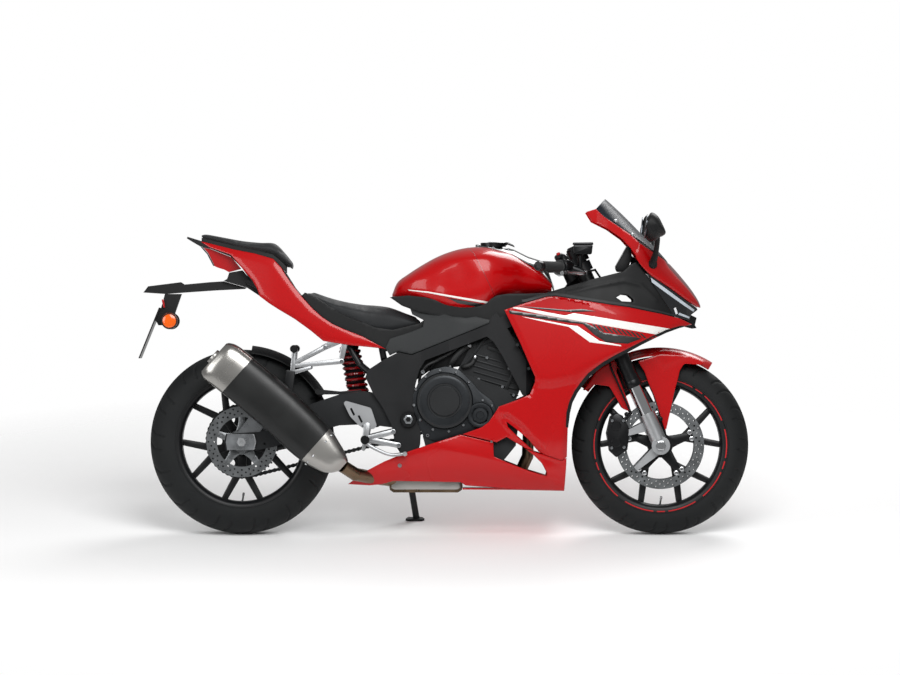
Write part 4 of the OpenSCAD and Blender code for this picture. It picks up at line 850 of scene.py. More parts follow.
side_pair(("fairing_right", "fairing_left"), FAIR_LINE, fairing_height, "chassis", RED,
          ("fairing_right", "fairing_left"), holes=[FAIR_SLOT], edge=2.6)


def belly_height(x, z):
    """Outer face of the belly pan, with the crease that runs along it and the turn-in at its foot."""
    h = fair_base(x, z) + 1.5
    h = h + facet(x, z, [(450, 246), (557, 273), (661, 301), (784, 269), (920, 232), (1029, 201),
                         (1088, 169)], 0.25, 50, 4.0)
    h = h + facet(x, z, [(1088, 166), (1029, 180), (920, 200), (784, 222), (661, 226), (557, 222),
                         (450, 205)], 0.22, 40, 6.0)
    return h


BELLY_LINE = [(359, 169), (415, 211), (481, 246), (565, 281), (639, 306), (737, 337), (849, 310), (851, 264),
              (890, 246),
              (972, 214), (1028, 197), (1031, 207), (1015, 238), (989, 264), (960, 288), (1080, 249),
              (1096, 260), (1095, 229),
              (1089, 147), (920, 153), (756, 165), (739, 176), (512, 180), (473, 169), (433, 165)]
belly_right = panel(BELLY_LINE, belly_height, 4.0, [], 6.0, 2.2, -1)
ahead_of_stand = [p for p in BELLY_LINE if p[0] > 655]
belly_short = [(656, 177.5), (656, 311)] + ahead_of_stand[:-3] + [(920, 153), (756, 165), (739, 176)]
belly_left = panel(belly_short, belly_height, 4.0, [], 6.0, 2.2, 1)
floor_pan = slab([(746, 151), (925, 150), (1087, 146.5), (1087, 151.5), (925, 155), (746, 156)], -124, 124,
                 1.5)
build("belly_pan", [belly_right, belly_left, floor_pan], "chassis", RED, "belly_pan")


def film(points, height, lift=0.45, step=7.0, holes=()):
    """A sheet laid on both sides' panels, lift mm proud of them."""
    shape = panel(points, lambda x, z: height(x, z) + lift, 1.2, holes, step, 0.25, -1)
    return both(shape)


white = [(914, 766), (949, 764), (1009, 753), (1090, 738), (1120, 746), (1449, 693), (1399, 674), (1200, 708),
         (1009, 742),
         (918, 762)]
line = [(941, 735), (1009, 724), (1102, 706), (1132, 703), (1207, 652), (1279, 638.5), (1279, 634.5),
        (1174, 648), (1102, 700),
        (1009, 719)]
black = [(900, 756), (1009, 740.5), (1158, 715), (1223, 680), (1332, 665), (1348, 660), (1301, 643),
         (1228, 648), (1190, 672),
         (1150, 709), (1106, 713), (1009, 727), (904, 744)]
upper = [(929, 770), (1000, 765), (1096, 757), (1150, 760), (1196, 752), (1110, 749), (1000, 760)]
hatch = []
for k in range(11):
    x = 1180 + 16 * k
    z = 713 - 0.196 * (x - 1168)
    hatch += film([(x, z), (x + 9, z - 1.7), (x + 27, z - 24 + k * 0.5), (x + 18, z - 22.4 + k * 0.5)],
                  fairing_height, 0.5, 5.0)
rim_in = [(1519, 705), (1478, 694.5), (1435, 679), (1392, 659), (1349, 638), (1305, 614), (1262, 592),
          (1219, 566), (1177, 533),
          (1152, 502), (1134, 477), (1117, 443), (1109, 409), (1103, 360)]
rim_band = [(x - 1.5, z + 1.0) for x, z in rim_in] + [(1093, 362), (1095, 411), (1105, 449), (1122, 484),
                                                      (1141, 511), (1168, 544),
            (1213, 578), (1257, 604), (1300, 626), (1345, 649), (1388, 670), (1432, 690), (1478, 703)]
build("fairing_stripe_white", film(white, fairing_height) + film(line, fairing_height), "chassis", WHITE_FILM)
build("fairing_stripe_black", film(black, fairing_height) + film(upper, fairing_height) + hatch, "chassis",
      BLACK_FILM)
build("fairing_edge_trim", film(rim_band, fairing_height, 0.5, 5.0), "chassis", PLASTIC)

# ---------------------------------------------------------------- tail

TAIL_XS = [-170, -90, 0, 110, 220, 340, 500]
TAIL_ZS = [600, 700, 780, 860, 930, 1010]
TAIL_W = [[60, 56, 50, 44, 38, 28], [78, 76, 70, 64, 58, 46], [98, 96, 92, 86, 78, 64],
          [118, 117, 114, 108, 100, 84],
          [132, 131, 128, 121, 108, 90], [138, 138, 134, 124, 110, 90], [134, 133, 128, 118, 104, 90]]
tail_base = soft_table(TAIL_XS, TAIL_ZS, TAIL_W, 20.0)


def tail_height(x, z):
    """Outer face of the tail, folded along the line that runs under its top edge."""
    h = tail_base(x, z) + 1.5
    h = h + facet(x, z, [(486, 640), (380, 668), (300, 706), (232, 752), (185, 800), (140, 862), (104, 908),
                         (44, 926),
                         (-40, 946), (-120, 972)][::-1], 0.26, 40, 3.0)
    h = h + facet(x, z, [(-90, 960), (-20, 928), (25, 888), (52, 852), (72, 812), (110, 782), (180, 744),
                         (250, 696), (300, 664),
                         (400, 646), (486, 636)][::-1], 0.3, 40, 3.0)
    return h


TAIL_LINE = [(-147, 992), (-92, 978), (-28, 962), (44, 948), (106, 930), (134, 900), (149, 874), (180, 831),
             (208, 797),
             (239, 763), (271, 734), (307, 710), (347, 692), (408, 668), (486, 626), (358, 639), (276, 652),
             (235, 686),
             (180, 726), (126, 758), (90, 781), (60, 804), (53, 826), (35, 858), (12, 885), (-19, 922),
             (-38, 944), (-74, 956),
             (-110, 969)]
tail = panel(TAIL_LINE, tail_height, 4.0, [], 5.0, 2.4, -1)
build("tail_cowl", both(tail), "chassis", RED, "tail_cowl")

# ---------------------------------------------------------------- tank and seats


def body_rings(rows, count, stations, shape=None):
    """Closed rings of a body that is the same on both sides.

    Each row is x, half width, top, bottom and squareness: at the angle a from the top, the width is
    sin(a) to the
    power of the squareness, and the height likewise cos(a). Rows are joined by smooth curves over x.
    """
    rows = np.asarray(rows, float)
    fine = spline(rows, stations)
    a = (np.arange(count) + 0.5) * 2 * math.pi / count
    s, c = np.sin(a), np.cos(a)
    rings = []
    for x, w, top, low, e in fine:
        y = w * np.sign(s) * np.abs(s) ** e
        z = (top + low) / 2 + (top - low) / 2 * np.sign(c) * np.abs(c) ** e
        rings.append(np.stack([np.full(count, x), y, z], 1))
    rings = np.array(rings)
    return shape(rings) if shape else rings


TANK_ROWS = [(508, 28, 811, 801, 0.9), (526, 78, 851, 797, 0.8), (561, 112, 878, 790, 0.74),
             (604, 138, 906, 776, 0.72),
             (652, 158, 933, 761, 0.7), (700, 176, 953, 746, 0.68), (756, 186, 967, 739, 0.66),
             (820, 187, 971, 748, 0.66),
             (868, 171, 961, 788, 0.68), (910, 142, 951, 793, 0.72), (950, 112, 932, 800, 0.76),
             (1000, 96, 899, 806, 0.8),
             (1047, 78, 851, 812, 0.8)]


def tank_shape(rings):
    """Knee dents behind the widest place, and a crease that runs forward from it."""
    x, y, z = rings[..., 0], rings[..., 1], rings[..., 2]
    dent = 15 * np.exp(-0.5 * ((x - 705) / 52) ** 2 - 0.5 * ((z - 872) / 34) ** 2)
    shoulder = 5.0 * bell(z - (926 + (x - 700) * 0.10), 10) * bell(x - 770, 90)
    foot = 4.0 * bell(z - 775, 12) * bell(x - 690, 90)
    out = np.clip((np.abs(y) - 60) / 70, 0, 1)
    y = np.sign(y) * (np.abs(y) + (shoulder + foot - dent) * out)
    top = np.clip((z - 925) / 30, 0, 1) * np.clip(1 - np.abs(y) / 70, 0, 1)
    hollow = np.clip((x - 790) / 20, 0, 1)
    return np.stack([x, y, z - 12 * top * hollow], -1)


tank = loft(body_rings(TANK_ROWS, 128, 150, tank_shape))
build("fuel_tank", [tank], "chassis", RED, "fuel_tank")

COVER_ROWS = [(790, 40, 979, 5), (830, 62, 980, 10), (880, 74, 972, 16), (920, 80, 962, 20),
              (968, 78, 938, 22),
              (1012, 72, 924, 22), (1040, 62, 880, 18), (1056, 52, 834, 14)]


def cushion(name, rows, count=72, stations=90):
    """Padded seat: a soft closed form, blown up a little by a cloth simulation that may move it 5 mm."""
    rings = body_rings(rows, count, stations)
    piece = build(name, [loft(rings)], "chassis", VINYL, name, 70)
    bpy.context.view_layer.objects.active = piece
    remesh = piece.modifiers.new("voxels", "REMESH")
    remesh.mode = "VOXEL"
    remesh.voxel_size = 0.0055
    remesh.use_smooth_shade = True
    with bpy.context.temp_override(object=piece, active_object=piece):
        bpy.ops.object.modifier_apply(modifier="voxels")
    start = np.empty(len(piece.data.vertices) * 3)
    piece.data.vertices.foreach_get("co", start)
    cloth = piece.modifiers.new("padding", "CLOTH")
    cloth.settings.use_pressure = True
    cloth.settings.uniform_pressure_force = 4.0
    cloth.settings.effector_weights.gravity = 0.0
    cloth.settings.quality = 4
    cloth.point_cache.frame_start = 1
    cloth.point_cache.frame_end = 20
    for step in range(1, 21):
        bpy.context.scene.frame_set(step)
    shown = piece.evaluated_get(bpy.context.evaluated_depsgraph_get())
    moved = np.empty(len(shown.data.vertices) * 3)
    shown.data.vertices.foreach_get("co", moved)
    piece.modifiers.remove(cloth)
    shift = (moved - start).reshape(-1, 3)
    size = np.linalg.norm(shift, axis=1)[:, None]
    shift *= np.minimum(size, 0.005) / np.maximum(size, 1e-9)
    piece.data.vertices.foreach_set("co", (start.reshape(-1, 3) + shift).ravel())
    bpy.context.scene.frame_set(1)
    piece.data.update()
    fine = piece.modifiers.new("smooth", "SUBSURF")
    fine.levels = 1
    fine.render_levels = 1
    return piece


SEAT_ROWS = [(218, 58, 820, 808, 0.8), (250, 98, 809, 779, 0.66), (300, 122, 792, 747, 0.6),
             (352, 132, 779, 722, 0.58),
             (409, 132, 770, 696, 0.58), (452, 124, 767, 680, 0.58), (500, 110, 760, 674, 0.58),
             (560, 98, 738, 690, 0.6),
             (608, 88, 722, 705, 0.7)]
PILLION_ROWS = [(-145, 24, 1008, 1004, 0.8), (-120, 46, 1008, 997, 0.7), (-60, 64, 997, 983, 0.6),
                (0, 78, 986, 968, 0.6),
                (60, 90, 980, 957, 0.6), (110, 94, 977, 942, 0.6), (140, 92, 948, 916, 0.66),
                (170, 82, 911, 888, 0.75)]
cushion("rider_seat", SEAT_ROWS)
cushion("pillion_seat", PILLION_ROWS)
PAN_ROWS = [(-138, 22, 990, 1003), (-92, 46, 977, 990), (-28, 60, 961, 975), (44, 72, 947, 961),
            (104, 78, 931, 945),
            (128, 78, 908, 926), (150, 74, 882, 904)]
pan = loft([np.array([(x, -w, z0), (x, w, z0), (x, w * 0.97, z1), (x, -w * 0.97, z1)], float) for x, w, z0,
            z1 in PAN_ROWS])
build("pillion_pan", [pan], "chassis", PLASTIC)

# ---------------------------------------------------------------- front mudguard


def mudguard_cheek(x, z):
    """Cheek of the mudguard: it stands 80 mm out and folds along a crease under the arch."""
    h = np.full(np.shape(x), 80.0)
    h = h + facet(x, z, [(1369, 606), (1423, 549), (1510, 587)], 0.05, 20, 3.0)
    return h


def mudguard_arch():
    """Arch over the tyre: a shell whose section is a parabola, with rounded edges at both ends."""
    a = np.radians(np.linspace(57.5, 143.5, 90))
    ys = np.linspace(-77, 77, 41)
    rings = []
    for t, u in zip(a, np.linspace(0, 1, len(a))):
        back = np.clip((0.12 - u) / 0.12, 0, 1)
        ahead = np.clip((u - 0.9) / 0.1, 0, 1)
        narrow = 1 - 0.55 * back**1.6 - 0.45 * ahead**1.6
        y = ys * narrow
        outer = 330.4 - 26 * (ys / 80) ** 2 + 0.6 * bell(ys, 9)
        inner = outer - 3.4
        r = np.r_[outer, inner[::-1]]
        yy = np.r_[y, y[::-1]]
        rings.append(np.stack([FRONT_C[0] + r * math.cos(t), yy, FRONT_C[1] + r * math.sin(t)], 1))
    return loft(rings)


FX, FZ = FRONT_C
cheek = [(-77, 284), (-55, 250), (-40, 208), (-22, 170), (-2, 106), (14, 52), (20, 56), (49, 190), (58, 222),
         (65, 253),
         (80, 276), (140, 272), (150, 282), (100, 302), (0, 308)]
cheek_rear = [(-104, 283), (-159, 287), (-214, 254), (-262, 184), (-246, 190), (-221, 206), (-173, 199),
              (-130, 126), (-114, 117),
              (-100, 117), (-105, 135), (-150, 253), (-132, 285)]
cheeks = []
for points in (cheek, cheek_rear):
    line = soften([(FX + x, FZ + z) for x, z in points], 7, 4)
    cheeks += both(panel(line, mudguard_cheek, 3.6, [], 5.0, 1.8, -1))
build("front_mudguard", [mudguard_arch()] + cheeks, "fork_assembly", RED, "front_mudguard")
bolts = []
for x, z in ((FX, 389), (FX - 111, 403)):
    bolts += both(turned([(-80, 0.1), (-80, 8), (-81.2, 8), (-81.2, 5.5), (-82.6, 5.2), (-83, 4.4),
                          (-83, 2.6), (-81.6, 2.4),
                          (-81.6, 0.1)], (x, z), 18))
build("mudguard_bolts", bolts, "fork_assembly", ANODISED)

# ---------------------------------------------------------------- nose, screen and lamp

NOSE_ROWS = [(1447, 912, 1340, 984, 158), (1460, 898, 1330, 936, 162), (1481, 874, 1373, 880, 150),
             (1516, 831, 1440, 834, 118),
             (1542, 792, 1503, 789, 74), (1553, 766, 1540, 766, 26)]
SCREEN_ROWS = [(1230, 1134, 1196, 1098, 112), (1290, 1078, 1222, 1072, 132), (1352, 1015, 1276, 1036, 148),
               (1408, 958, 1316, 1010, 154), (1442, 919, 1342, 994, 154)]


def arched(rows, stations, count, wall, crease=0.0, lower=0.0, span=90.0):
    """Shell over rows of arches: each runs from its edge over a ridge on the middle plane and down.

    A row is ridge x and z, edge x and z, and half width. At the angle a across it, from -90 to 90
    degrees, the width
    goes as sin(a) and the rise as cos(a). crease lifts a soft line on each side, and span below 90 keeps
    to the middle.
    """
    fine = spline(rows, stations)
    a = np.radians(np.linspace(-span, span, count))
    bump = crease * bell(np.abs(np.degrees(a)) - 38, 5.0)
    grid = []
    for rx, rz, ex, ez, w in fine:
        c, s = np.cos(a), np.sin(a)
        grid.append(np.stack([ex + (rx - ex) * c, w * s, ez + (rz - ez) * c], 1))
    grid = np.array(grid)
    du = np.gradient(grid, axis=0)
    dv = np.gradient(grid, axis=1)
    n = np.cross(du, dv)
    n /= np.linalg.norm(n, axis=2)[..., None] + 1e-9
    if n[len(n) // 2, count // 2, 0] < 0:
        n = -n
    grid = grid + n * (bump[None, :, None] - lower)
    edge = np.minimum(np.minimum(np.arange(len(grid)), np.arange(len(grid))[::-1])[:, None],
                      np.minimum(np.arange(count), np.arange(count)[::-1])[None, :])
    drop = np.where(edge == 0, 1.2, np.where(edge == 1, 0.2, 0.0))
    outer = grid - n * drop[..., None]
    inner = grid - n * wall
    rings = np.concatenate([outer, inner[:, ::-1]], axis=1)
    return loft(rings)


build("nose_cowl", [arched(NOSE_ROWS, 40, 81, 3.6, 1.6)], "chassis", RED, "nose_cowl", 40)
build("nose_top_tint", [arched(NOSE_ROWS, 40, 41, 1.6, 0.0, -0.9, 36.0)], "chassis", TINT, (), 40)
build("windscreen", [arched(SCREEN_ROWS, 40, 65, 2.6)], "chassis", SMOKE, "windscreen", 40)


def strip_width(x, z):
    """The red strip under each side of the screen stands a little outside it."""
    return np.interp(x, [1163, 1196, 1236, 1284, 1342], [116, 122, 138, 153, 161]) + 0 * z


strip = [(1163, 1088), (1183, 1056), (1236, 1030), (1284, 996), (1312, 965), (1331, 937), (1341, 984),
         (1314, 1010),
         (1275, 1036), (1222, 1072), (1196, 1098)]
build("nose_strips", both(panel(strip, strip_width, 4.0, [], 5.0, 1.6, -1)), "chassis", RED)
screws = []
for x, z in ((1262, 1058), (1318, 1012)):
    w = float(strip_width(np.array([x]), np.array([z]))[0])
    screws += both(turned([(-w + 3, 0.1), (-w + 3, 6.5), (-w - 1.0, 6.5), (-w - 2.4, 5.0), (-w - 2.6, 2.4),
                           (-w - 1.2, 2.2),
                           (-w - 1.2, 0.1)], (x, z), 18))
build("screen_screws", screws, "chassis", BRIGHT)


def lamp_width(x, z):
    """Half width of the lamp's face in plan."""
    return np.interp(x, [1370, 1440, 1503, 1540, 1546], [150, 117, 73, 25, 12]) + 0 * z


bars = [(1380, 866), (1440, 823), (1498, 781), (1531, 758), (1527, 751), (1494, 772), (1435, 813),
        (1384, 850)]
low_bar = [(1474, 741), (1512, 728), (1514, 734), (1478, 748)]
build("lamp_light_bars", film(bars, lamp_width, 0.6, 4.0) + film(low_bar, lamp_width, 0.6, 4.0), "chassis",
      LIGHT_BAR)
glow = [(1459, 762), (1466, 742), (1473, 745), (1466, 766)]
build("lamp_side_lights", film(glow, lamp_width, 0.7, 4.0), "chassis", LED)

INNER_XS = [880, 1000, 1100, 1200, 1300, 1400, 1480]
INNER_ZS = [700, 760, 830, 880, 930]
INNER_W = []
for x, top in zip(INNER_XS, [(172, 164, 152), (176, 168, 156), (176, 168, 158), (170, 162, 154),
                             (158, 154, 148),
                             (136, 132, 126), (94, 90, 84)]):
    INNER_W.append([float(fair_base(x, 700)) - 5, float(fair_base(x, 760)) - 5, *top])
inner_base = soft_table(INNER_XS, INNER_ZS, INNER_W, 14.0)


def inner_height(x, z):
    """Outer face of the black panel between the fairing and the screen, with a pressed edge."""
    h = inner_base(x, z) + 0.5
    h = h + ridge(x, z, [(1100, 815), (1200, 838), (1290, 855), (1345, 842), (1400, 790)], 3.0, 4.0)
    return h


inner = [(1075, 829), (1183, 861), (1287, 887), (1317, 913), (1330, 918), (1371, 869), (1402, 822),
         (1432, 775), (1462, 732),
         (1395, 738), (1330, 752), (1252, 765), (1131, 786), (1027, 796), (945, 790)]
inner_hole = [(1263, 799), (1282, 810), (1304, 807), (1321, 792), (1321, 784), (1282, 786)]
shapes = both(panel(inner, inner_height, 3.0, [inner_hole], 6.0, 1.8, -1))


def chin_width(x, z):
    """Half width of the piece under the lamp."""
    return np.interp(x, [1465, 1500, 1546], [60, 51, 13]) + 0 * z


chin = [(1475, 731), (1514, 721), (1520, 740), (1539, 731), (1533, 706), (1539, 696), (1524, 694),
        (1500, 700), (1470, 722)]
shapes += both(panel(chin, chin_width, 12.0, [], 4.0, 2.0, -1))
dash = slab([(1263, 903), (1278, 930), (1304, 974), (1316, 968), (1318, 930), (1300, 888), (1269, 886)], -84,
            84, 5.0, 7.0)
stay = slab([(1316, 938), (1316, 906), (1362, 882), (1383, 873), (1384, 889), (1318, 942)], -19, 19, 3.0, 4.0)
build("cockpit_panels", shapes + [dash, stay], "chassis", PLASTIC, "cockpit_panels")
glass = slab([(1266, 906), (1263.5, 905), (1301, 972), (1304, 971)], -74, 74, 0.6)
build("instrument_glass", [glass], "chassis", DISPLAY)
rim_line = [(945, 784), (959, 784), (1029, 804), (1060, 806), (1253, 776), (1305, 769), (1413, 747),
            (1468, 734), (1468, 739),
            (1413, 754), (1305, 777), (1253, 785), (1062, 815), (1027, 813), (957, 793), (945, 792)]
build("fairing_rim_trim", film(rim_line, inner_height, 2.6, 5.0), "chassis", GREY_PLASTIC)

# ---------------------------------------------------------------- mirrors

HEAD_LINE = np.array([(1380, 1084), (1399, 1071), (1412, 1047), (1425, 1013), (1421, 1004), (1408, 998),
                      (1390, 983), (1369, 987),
                 (1356, 1017), (1362, 1047), (1369, 1073)], float)
HEAD = spline(HEAD_LINE, 48, closed=True)
HEAD_ROWS = [(252, 1006, 1024, 0.5), (255, 998, 1042, 0.66), (262, 988, 1060, 0.82), (280, 986, 1073, 0.93),
             (305, 988, 1083, 1.0),
             (330, 992, 1081, 1.0), (350, 1001, 1079, 0.94), (364, 1013, 1073, 0.82), (372, 1026, 1064, 0.66),
             (376, 1040, 1055, 0.45)]


def mirror_head():
    """Mirror housing: its side view drawn out sideways, squeezed in height and length towards both ends."""
    rows = spline(HEAD_ROWS, 44)
    rings = []
    low, high = HEAD[:, 1].min(), HEAD[:, 1].max()
    for y, z0, z1, k in rows:
        z = z0 + (HEAD[:, 1] - low) / (high - low) * (z1 - z0)
        rings.append(np.stack([1366 + (HEAD[:, 0] - 1366) * k, np.full(len(HEAD), y), z], 1))
    return loft(rings)


STALK = [(1386, 146, 912), (1396, 190, 950), (1400, 240, 992), (1396, 268, 1014)]
stalk = tube(STALK, [13, 11, 9, 8.5, 9, 9], 16, 30)
boot = along([(-8, 15), (-2, 17), (6, 15), (14, 12.5)], STALK[0], np.subtract(STALK[1], STALK[0]), 20)
build("mirrors", both(mirror_head()) + both(stalk) + both(boot), "chassis", PLASTIC,
      "mirrors", 45)
pane = spline([(266, 1000), (300, 996), (336, 1003), (362, 1026), (362, 1056), (340, 1072), (300, 1076),
               (272, 1058), (262, 1024)],
              40, closed=True)
# the pane is worked out upright across the bike, then leaned back and bent a little
yz, pane_faces = slab(pane, -1.4, 1.4, 0.5)
lean = (yz[:, 2] - 1040) * 0.12
pane_points = np.stack([1361.0 + yz[:, 1] + lean - np.abs(yz[:, 2] - 1030) * 0.02, yz[:, 0], yz[:, 2]], 1)
build("mirror_glass", both((pane_points, pane_faces)), "chassis", MIRROR)

# ---------------------------------------------------------------- tank cover and filler

cover_xs = np.array([r[0] for r in COVER_ROWS], float)


def cover_height(x, y):
    """Height of the tank's top cover, a parabola across the tank, with a raised bead on each side."""
    w = np.interp(x, cover_xs, [r[1] for r in COVER_ROWS])
    top = np.interp(x, cover_xs, [r[2] for r in COVER_ROWS])
    drop = np.interp(x, cover_xs, [r[3] for r in COVER_ROWS])
    bead = 1.6 * bell(np.abs(y) - 0.62 * w, 4.0) * np.clip((x - 905) / 20, 0, 1)
    return top - drop * (y / w) ** 2 + bead


plan_line = [(r[0], r[1]) for r in COVER_ROWS] + [(r[0], -r[1]) for r in COVER_ROWS[::-1]]
t = full_turn(56)
hole = np.stack([850 + 53.5 * np.cos(t), 53.5 * np.sin(t)], 1)
points, faces = panel(plan_line, cover_height, 3.6, [hole], 5.0, 1.6, 1)
cover = (points[:, [0, 2, 1]], faces)
ears = both(slab([(893.4, 980), (901, 978), (923, 970), (919, 978), (901, 987), (893.4, 987)], 12, 17, 0.8))
pin_bar = turned([(-17.6, 0.1), (-17.6, 2.4), (17.6, 2.4), (17.6, 0.1)], (897, 983), 14)
build("tank_cover", [cover, pin_bar] + ears, "chassis", GLOSS, "tank_cover")
ring_bolts = []
for k in range(6):
    a = math.radians(30 + 60 * k)
    where = (850 + 58.5 * math.cos(a), 58.5 * math.sin(a))
    h = float(cover_height(np.array(where[0]), np.array(where[1])))
    if abs(where[1]) > 20 or where[0] < 850:
        ring_bolts.append(along([(-2, 0.1), (-2, 4), (2.0, 4), (2.8, 3.2), (2.8, 1.8), (1.4, 1.6),
                                 (1.4, 0.1)],
                                (where[0], where[1], h), (0, 0, 1), 14))
build("filler_ring_bolts", ring_bolts, "chassis", BRIGHT)
lid = [(0.5, 42.6), (5.5, 42.6), (7.2, 41.0), (7.4, 34), (6.4, 32.5), (6.4, 22), (8.2, 20), (9.0, 12),
       (9.2, 0.1)]
build("filler_lid_top", [along([(0.5, 0.1)] + lid, (850, 0, 978), (0, 0, 1), 56)], "filler_lid", ANODISED)
key = [along([(8.6, 0.1), (8.6, 7), (10.2, 7), (10.6, 6.4), (10.6, 0.1)], (842, 0, 978), (0, 0, 1), 24)]
build("filler_lock", key, "filler_lid", BRIGHT)

# tank stripes: films laid on its side


def tank_side(x, z):
    """Half width of the painted tank at a point of its side view, found on its rings."""
    rings = tank_grid
    u = np.interp(x, rings[:, 0, 0], np.arange(len(rings)))
    i = np.clip(u.astype(int), 0, len(rings) - 2)
    f = u - i
    half = rings.shape[1] // 2
    zs = rings[i, :half, 2] * (1 - f)[:, None] + rings[i + 1, :half, 2] * f[:, None]
    ys = np.abs(rings[i, :half, 1] * (1 - f)[:, None] + rings[i + 1, :half, 1] * f[:, None])
    return np.array([np.interp(-q, -a, b) for q, a, b in zip(z, zs, ys)])


tank_grid = body_rings(TANK_ROWS, 128, 150, tank_shape)
tank_white = [(560, 826), (630, 819), (842, 783), (834, 777), (676, 805), (630, 814), (566, 822)]
tank_black = [(676, 802), (828, 774), (818, 763), (731, 779), (700, 795)]
# a dark red strip laid along the tank's seam: painted shade where the fold stays in the shade
painted_seam_shade = [(763, 969), (785, 943), (809, 895), (837, 838), (858, 791), (860.2, 792), (839.4, 839), (811.4, 896),
        (787.2, 944),
        (765.4, 969)]
build("tank_seam_painted_shade", film(painted_seam_shade, tank_side, 0.4, 5.0), "chassis", RED_DARK_AND_PAINTED_SHADE)
build("tank_stripe_white", film(tank_white, tank_side, 0.8, 5.0), "chassis", WHITE_FILM)
build("tank_stripe_black", film(tank_black, tank_side, 0.8, 5.0), "chassis", BLACK_FILM)

# ---------------------------------------------------------------- side covers

cover_base = soft_table([470, 560, 640, 720, 850], [590, 650, 720, 800],
                        [[128, 124, 116, 108], [140, 134, 124, 112], [156, 150, 140, 126],
                         [176, 172, 164, 152],
                         [186, 184, 180, 172]], 18.0)


def side_cover_height(x, z):
    """Outer face of the side cover, with a fold below the tank."""
    h = cover_base(x, z) + 1.0
    h = h + facet(x, z, [(500, 690), (590, 720), (660, 728), (760, 716), (850, 716)], 0.22, 30, 3.0)
    return h


side_cover = [(500, 660), (574, 684), (612, 700), (616, 722), (576, 742), (560, 786), (600, 772), (671, 748),
              (709, 736),
              (756, 731), (790, 735), (838, 724), (834, 712.4), (700, 657.7), (574, 606.8), (529, 616.8),
              (500, 603.5), (486, 628)]
build("side_covers", both(panel(side_cover, side_cover_height, 3.4, [], 6.0, 2.0, -1)), "chassis",
      GREY_PLASTIC,
      "side_covers")

# ---------------------------------------------------------------- silencer

CAN = [(345, 232, 24, 24), (325, 240, 42, 40), (296, 262, 58, 48), (236, 318, 76, 52), (114, 432, 80, 54),
       (-25, 548, 80, 54),
       (-68, 580, 79, 52), (-86, 594, 70, 44)]


# the silencer climbs towards the back: the way across it, in x and z, its middle plane and its stations
CAN_ACROSS = (0.667, 0.745)
CAN_Y = -194
CAN_STATIONS = 120


def can_rings(first, last, grow=0.0):
    """Rings of the silencer between two fractions of its length, swollen by grow mm."""
    fine = spline(CAN, CAN_STATIONS + 1)[int(first * CAN_STATIONS) : int(last * CAN_STATIONS) + 1]
    a = (np.arange(72) + 0.5) * 2 * math.pi / 72
    c, s = np.cos(a), np.sin(a)
    n = np.sign(c) * np.abs(c) ** 0.66
    w = np.sign(s) * np.abs(s) ** 0.7
    rings = []
    for x, z, d, h in fine:
        deep = n * (d + grow - 1)
        rings.append(np.stack([x + CAN_ACROSS[0] * deep, CAN_Y - w * (h + grow - 1),
                               z + CAN_ACROSS[1] * deep], 1))
    return np.array(rings)


body = loft(can_rings(0.2, 0.86))
front_cap = loft(can_rings(0.0, 0.235, 0.8))
rear = can_rings(0.835, 1.0, 0.9)
middle = rear[-1].mean(0)
out = rear[-1] - middle
rear_cap = loft(np.concatenate([rear, (middle + out * 0.9 + [-4, 0, 3.4])[None],
                                (middle + out * 0.62 + [-3, 0, 2.6])[None]]))
sunk = can_rings(0.5, 0.518, -0.5)
band = loft(np.concatenate([sunk[:1], can_rings(0.5, 0.518, 1.6), sunk[-1:]]))
build("silencer", [body], "chassis", CANISTER, "silencer", 30)
build("silencer_caps", [front_cap, rear_cap], "chassis", BRUSHED)
build("silencer_band", [band], "chassis", CANISTER)
direction = np.array([-0.743, 0, 0.669])
mouth = along([(-2, 27), (14, 27), (16, 26), (16.5, 24), (16, 22.5), (8, 21.5), (-20, 21.5)],
              (-84, -194, 592), direction, 40)
build("silencer_outlet", [mouth], "chassis", BRUSHED)
hanger = slab([(152, 556), (182, 550), (172, 470), (140, 470)], -154, -124.4, 2.0, 5.0)
build("silencer_bracket", [hanger], "chassis", POWDER)
cap_edge = can_rings(0.2, 0.2, 1.0)[0]
cap_bolts = []
for k in range(10):
    p = cap_edge[int(k * 7.2)]
    cap_bolts.append(along([(-2, 0.1), (-2, 4.2), (1.6, 4.2), (2.6, 3.2), (2.6, 1.6), (1.2, 0.1)], p,
                           p - cap_edge.mean(0), 12))
build("silencer_cap_rivets", cap_bolts, "chassis", BRIGHT)

# ---------------------------------------------------------------- engine, inner parts and exhaust


def strut(p, q, w0, w1, y0, y1, edge=1.5):
    """Flat bar with round ends, seen from the side: from p to q, of those half widths, from y0 to y1."""
    p, q = np.asarray(p, float), np.asarray(q, float)
    d = math.atan2(q[1] - p[1], q[0] - p[0])
    a = np.linspace(d + math.pi / 2, d + 1.5 * math.pi, 9)
    b = np.linspace(d - math.pi / 2, d + math.pi / 2, 9)
    line = np.vstack([np.stack([p[0] + w0 * np.cos(a), p[1] + w0 * np.sin(a)], 1),
                      np.stack([q[0] + w1 * np.cos(b), q[1] + w1 * np.sin(b)], 1)])
    return slab(line, y0, y1, edge)


def bolt(x, z, y, r=6.0, high=5.0):
    """Socket-head bolt that stands out from y: to the right where y is below 0, else to the left."""
    s = 1.0 if y > 0 else -1.0
    rows = [(-2, 0.1), (-2, r), (high - 1, r), (high, r - 1), (high, r * 0.55), (high * 0.4, r * 0.5),
            (high * 0.4, 0.1)]
    return turned([(y + s * out, radius) for out, radius in rows], (x, z), 16)


# middles of the clutch and of the crankshaft, x and z
CLUTCH = (685.0, 451.0)
CRANK = (805.0, 402.0)


def bolt_circle(centre, radius, angles, y, r, high=5.0):
    """Bolts round a centre (x, z), one at each angle in degrees."""
    return [bolt(centre[0] + radius * math.cos(t), centre[1] + radius * math.sin(t), y, r, high)
            for t in np.radians(angles)]


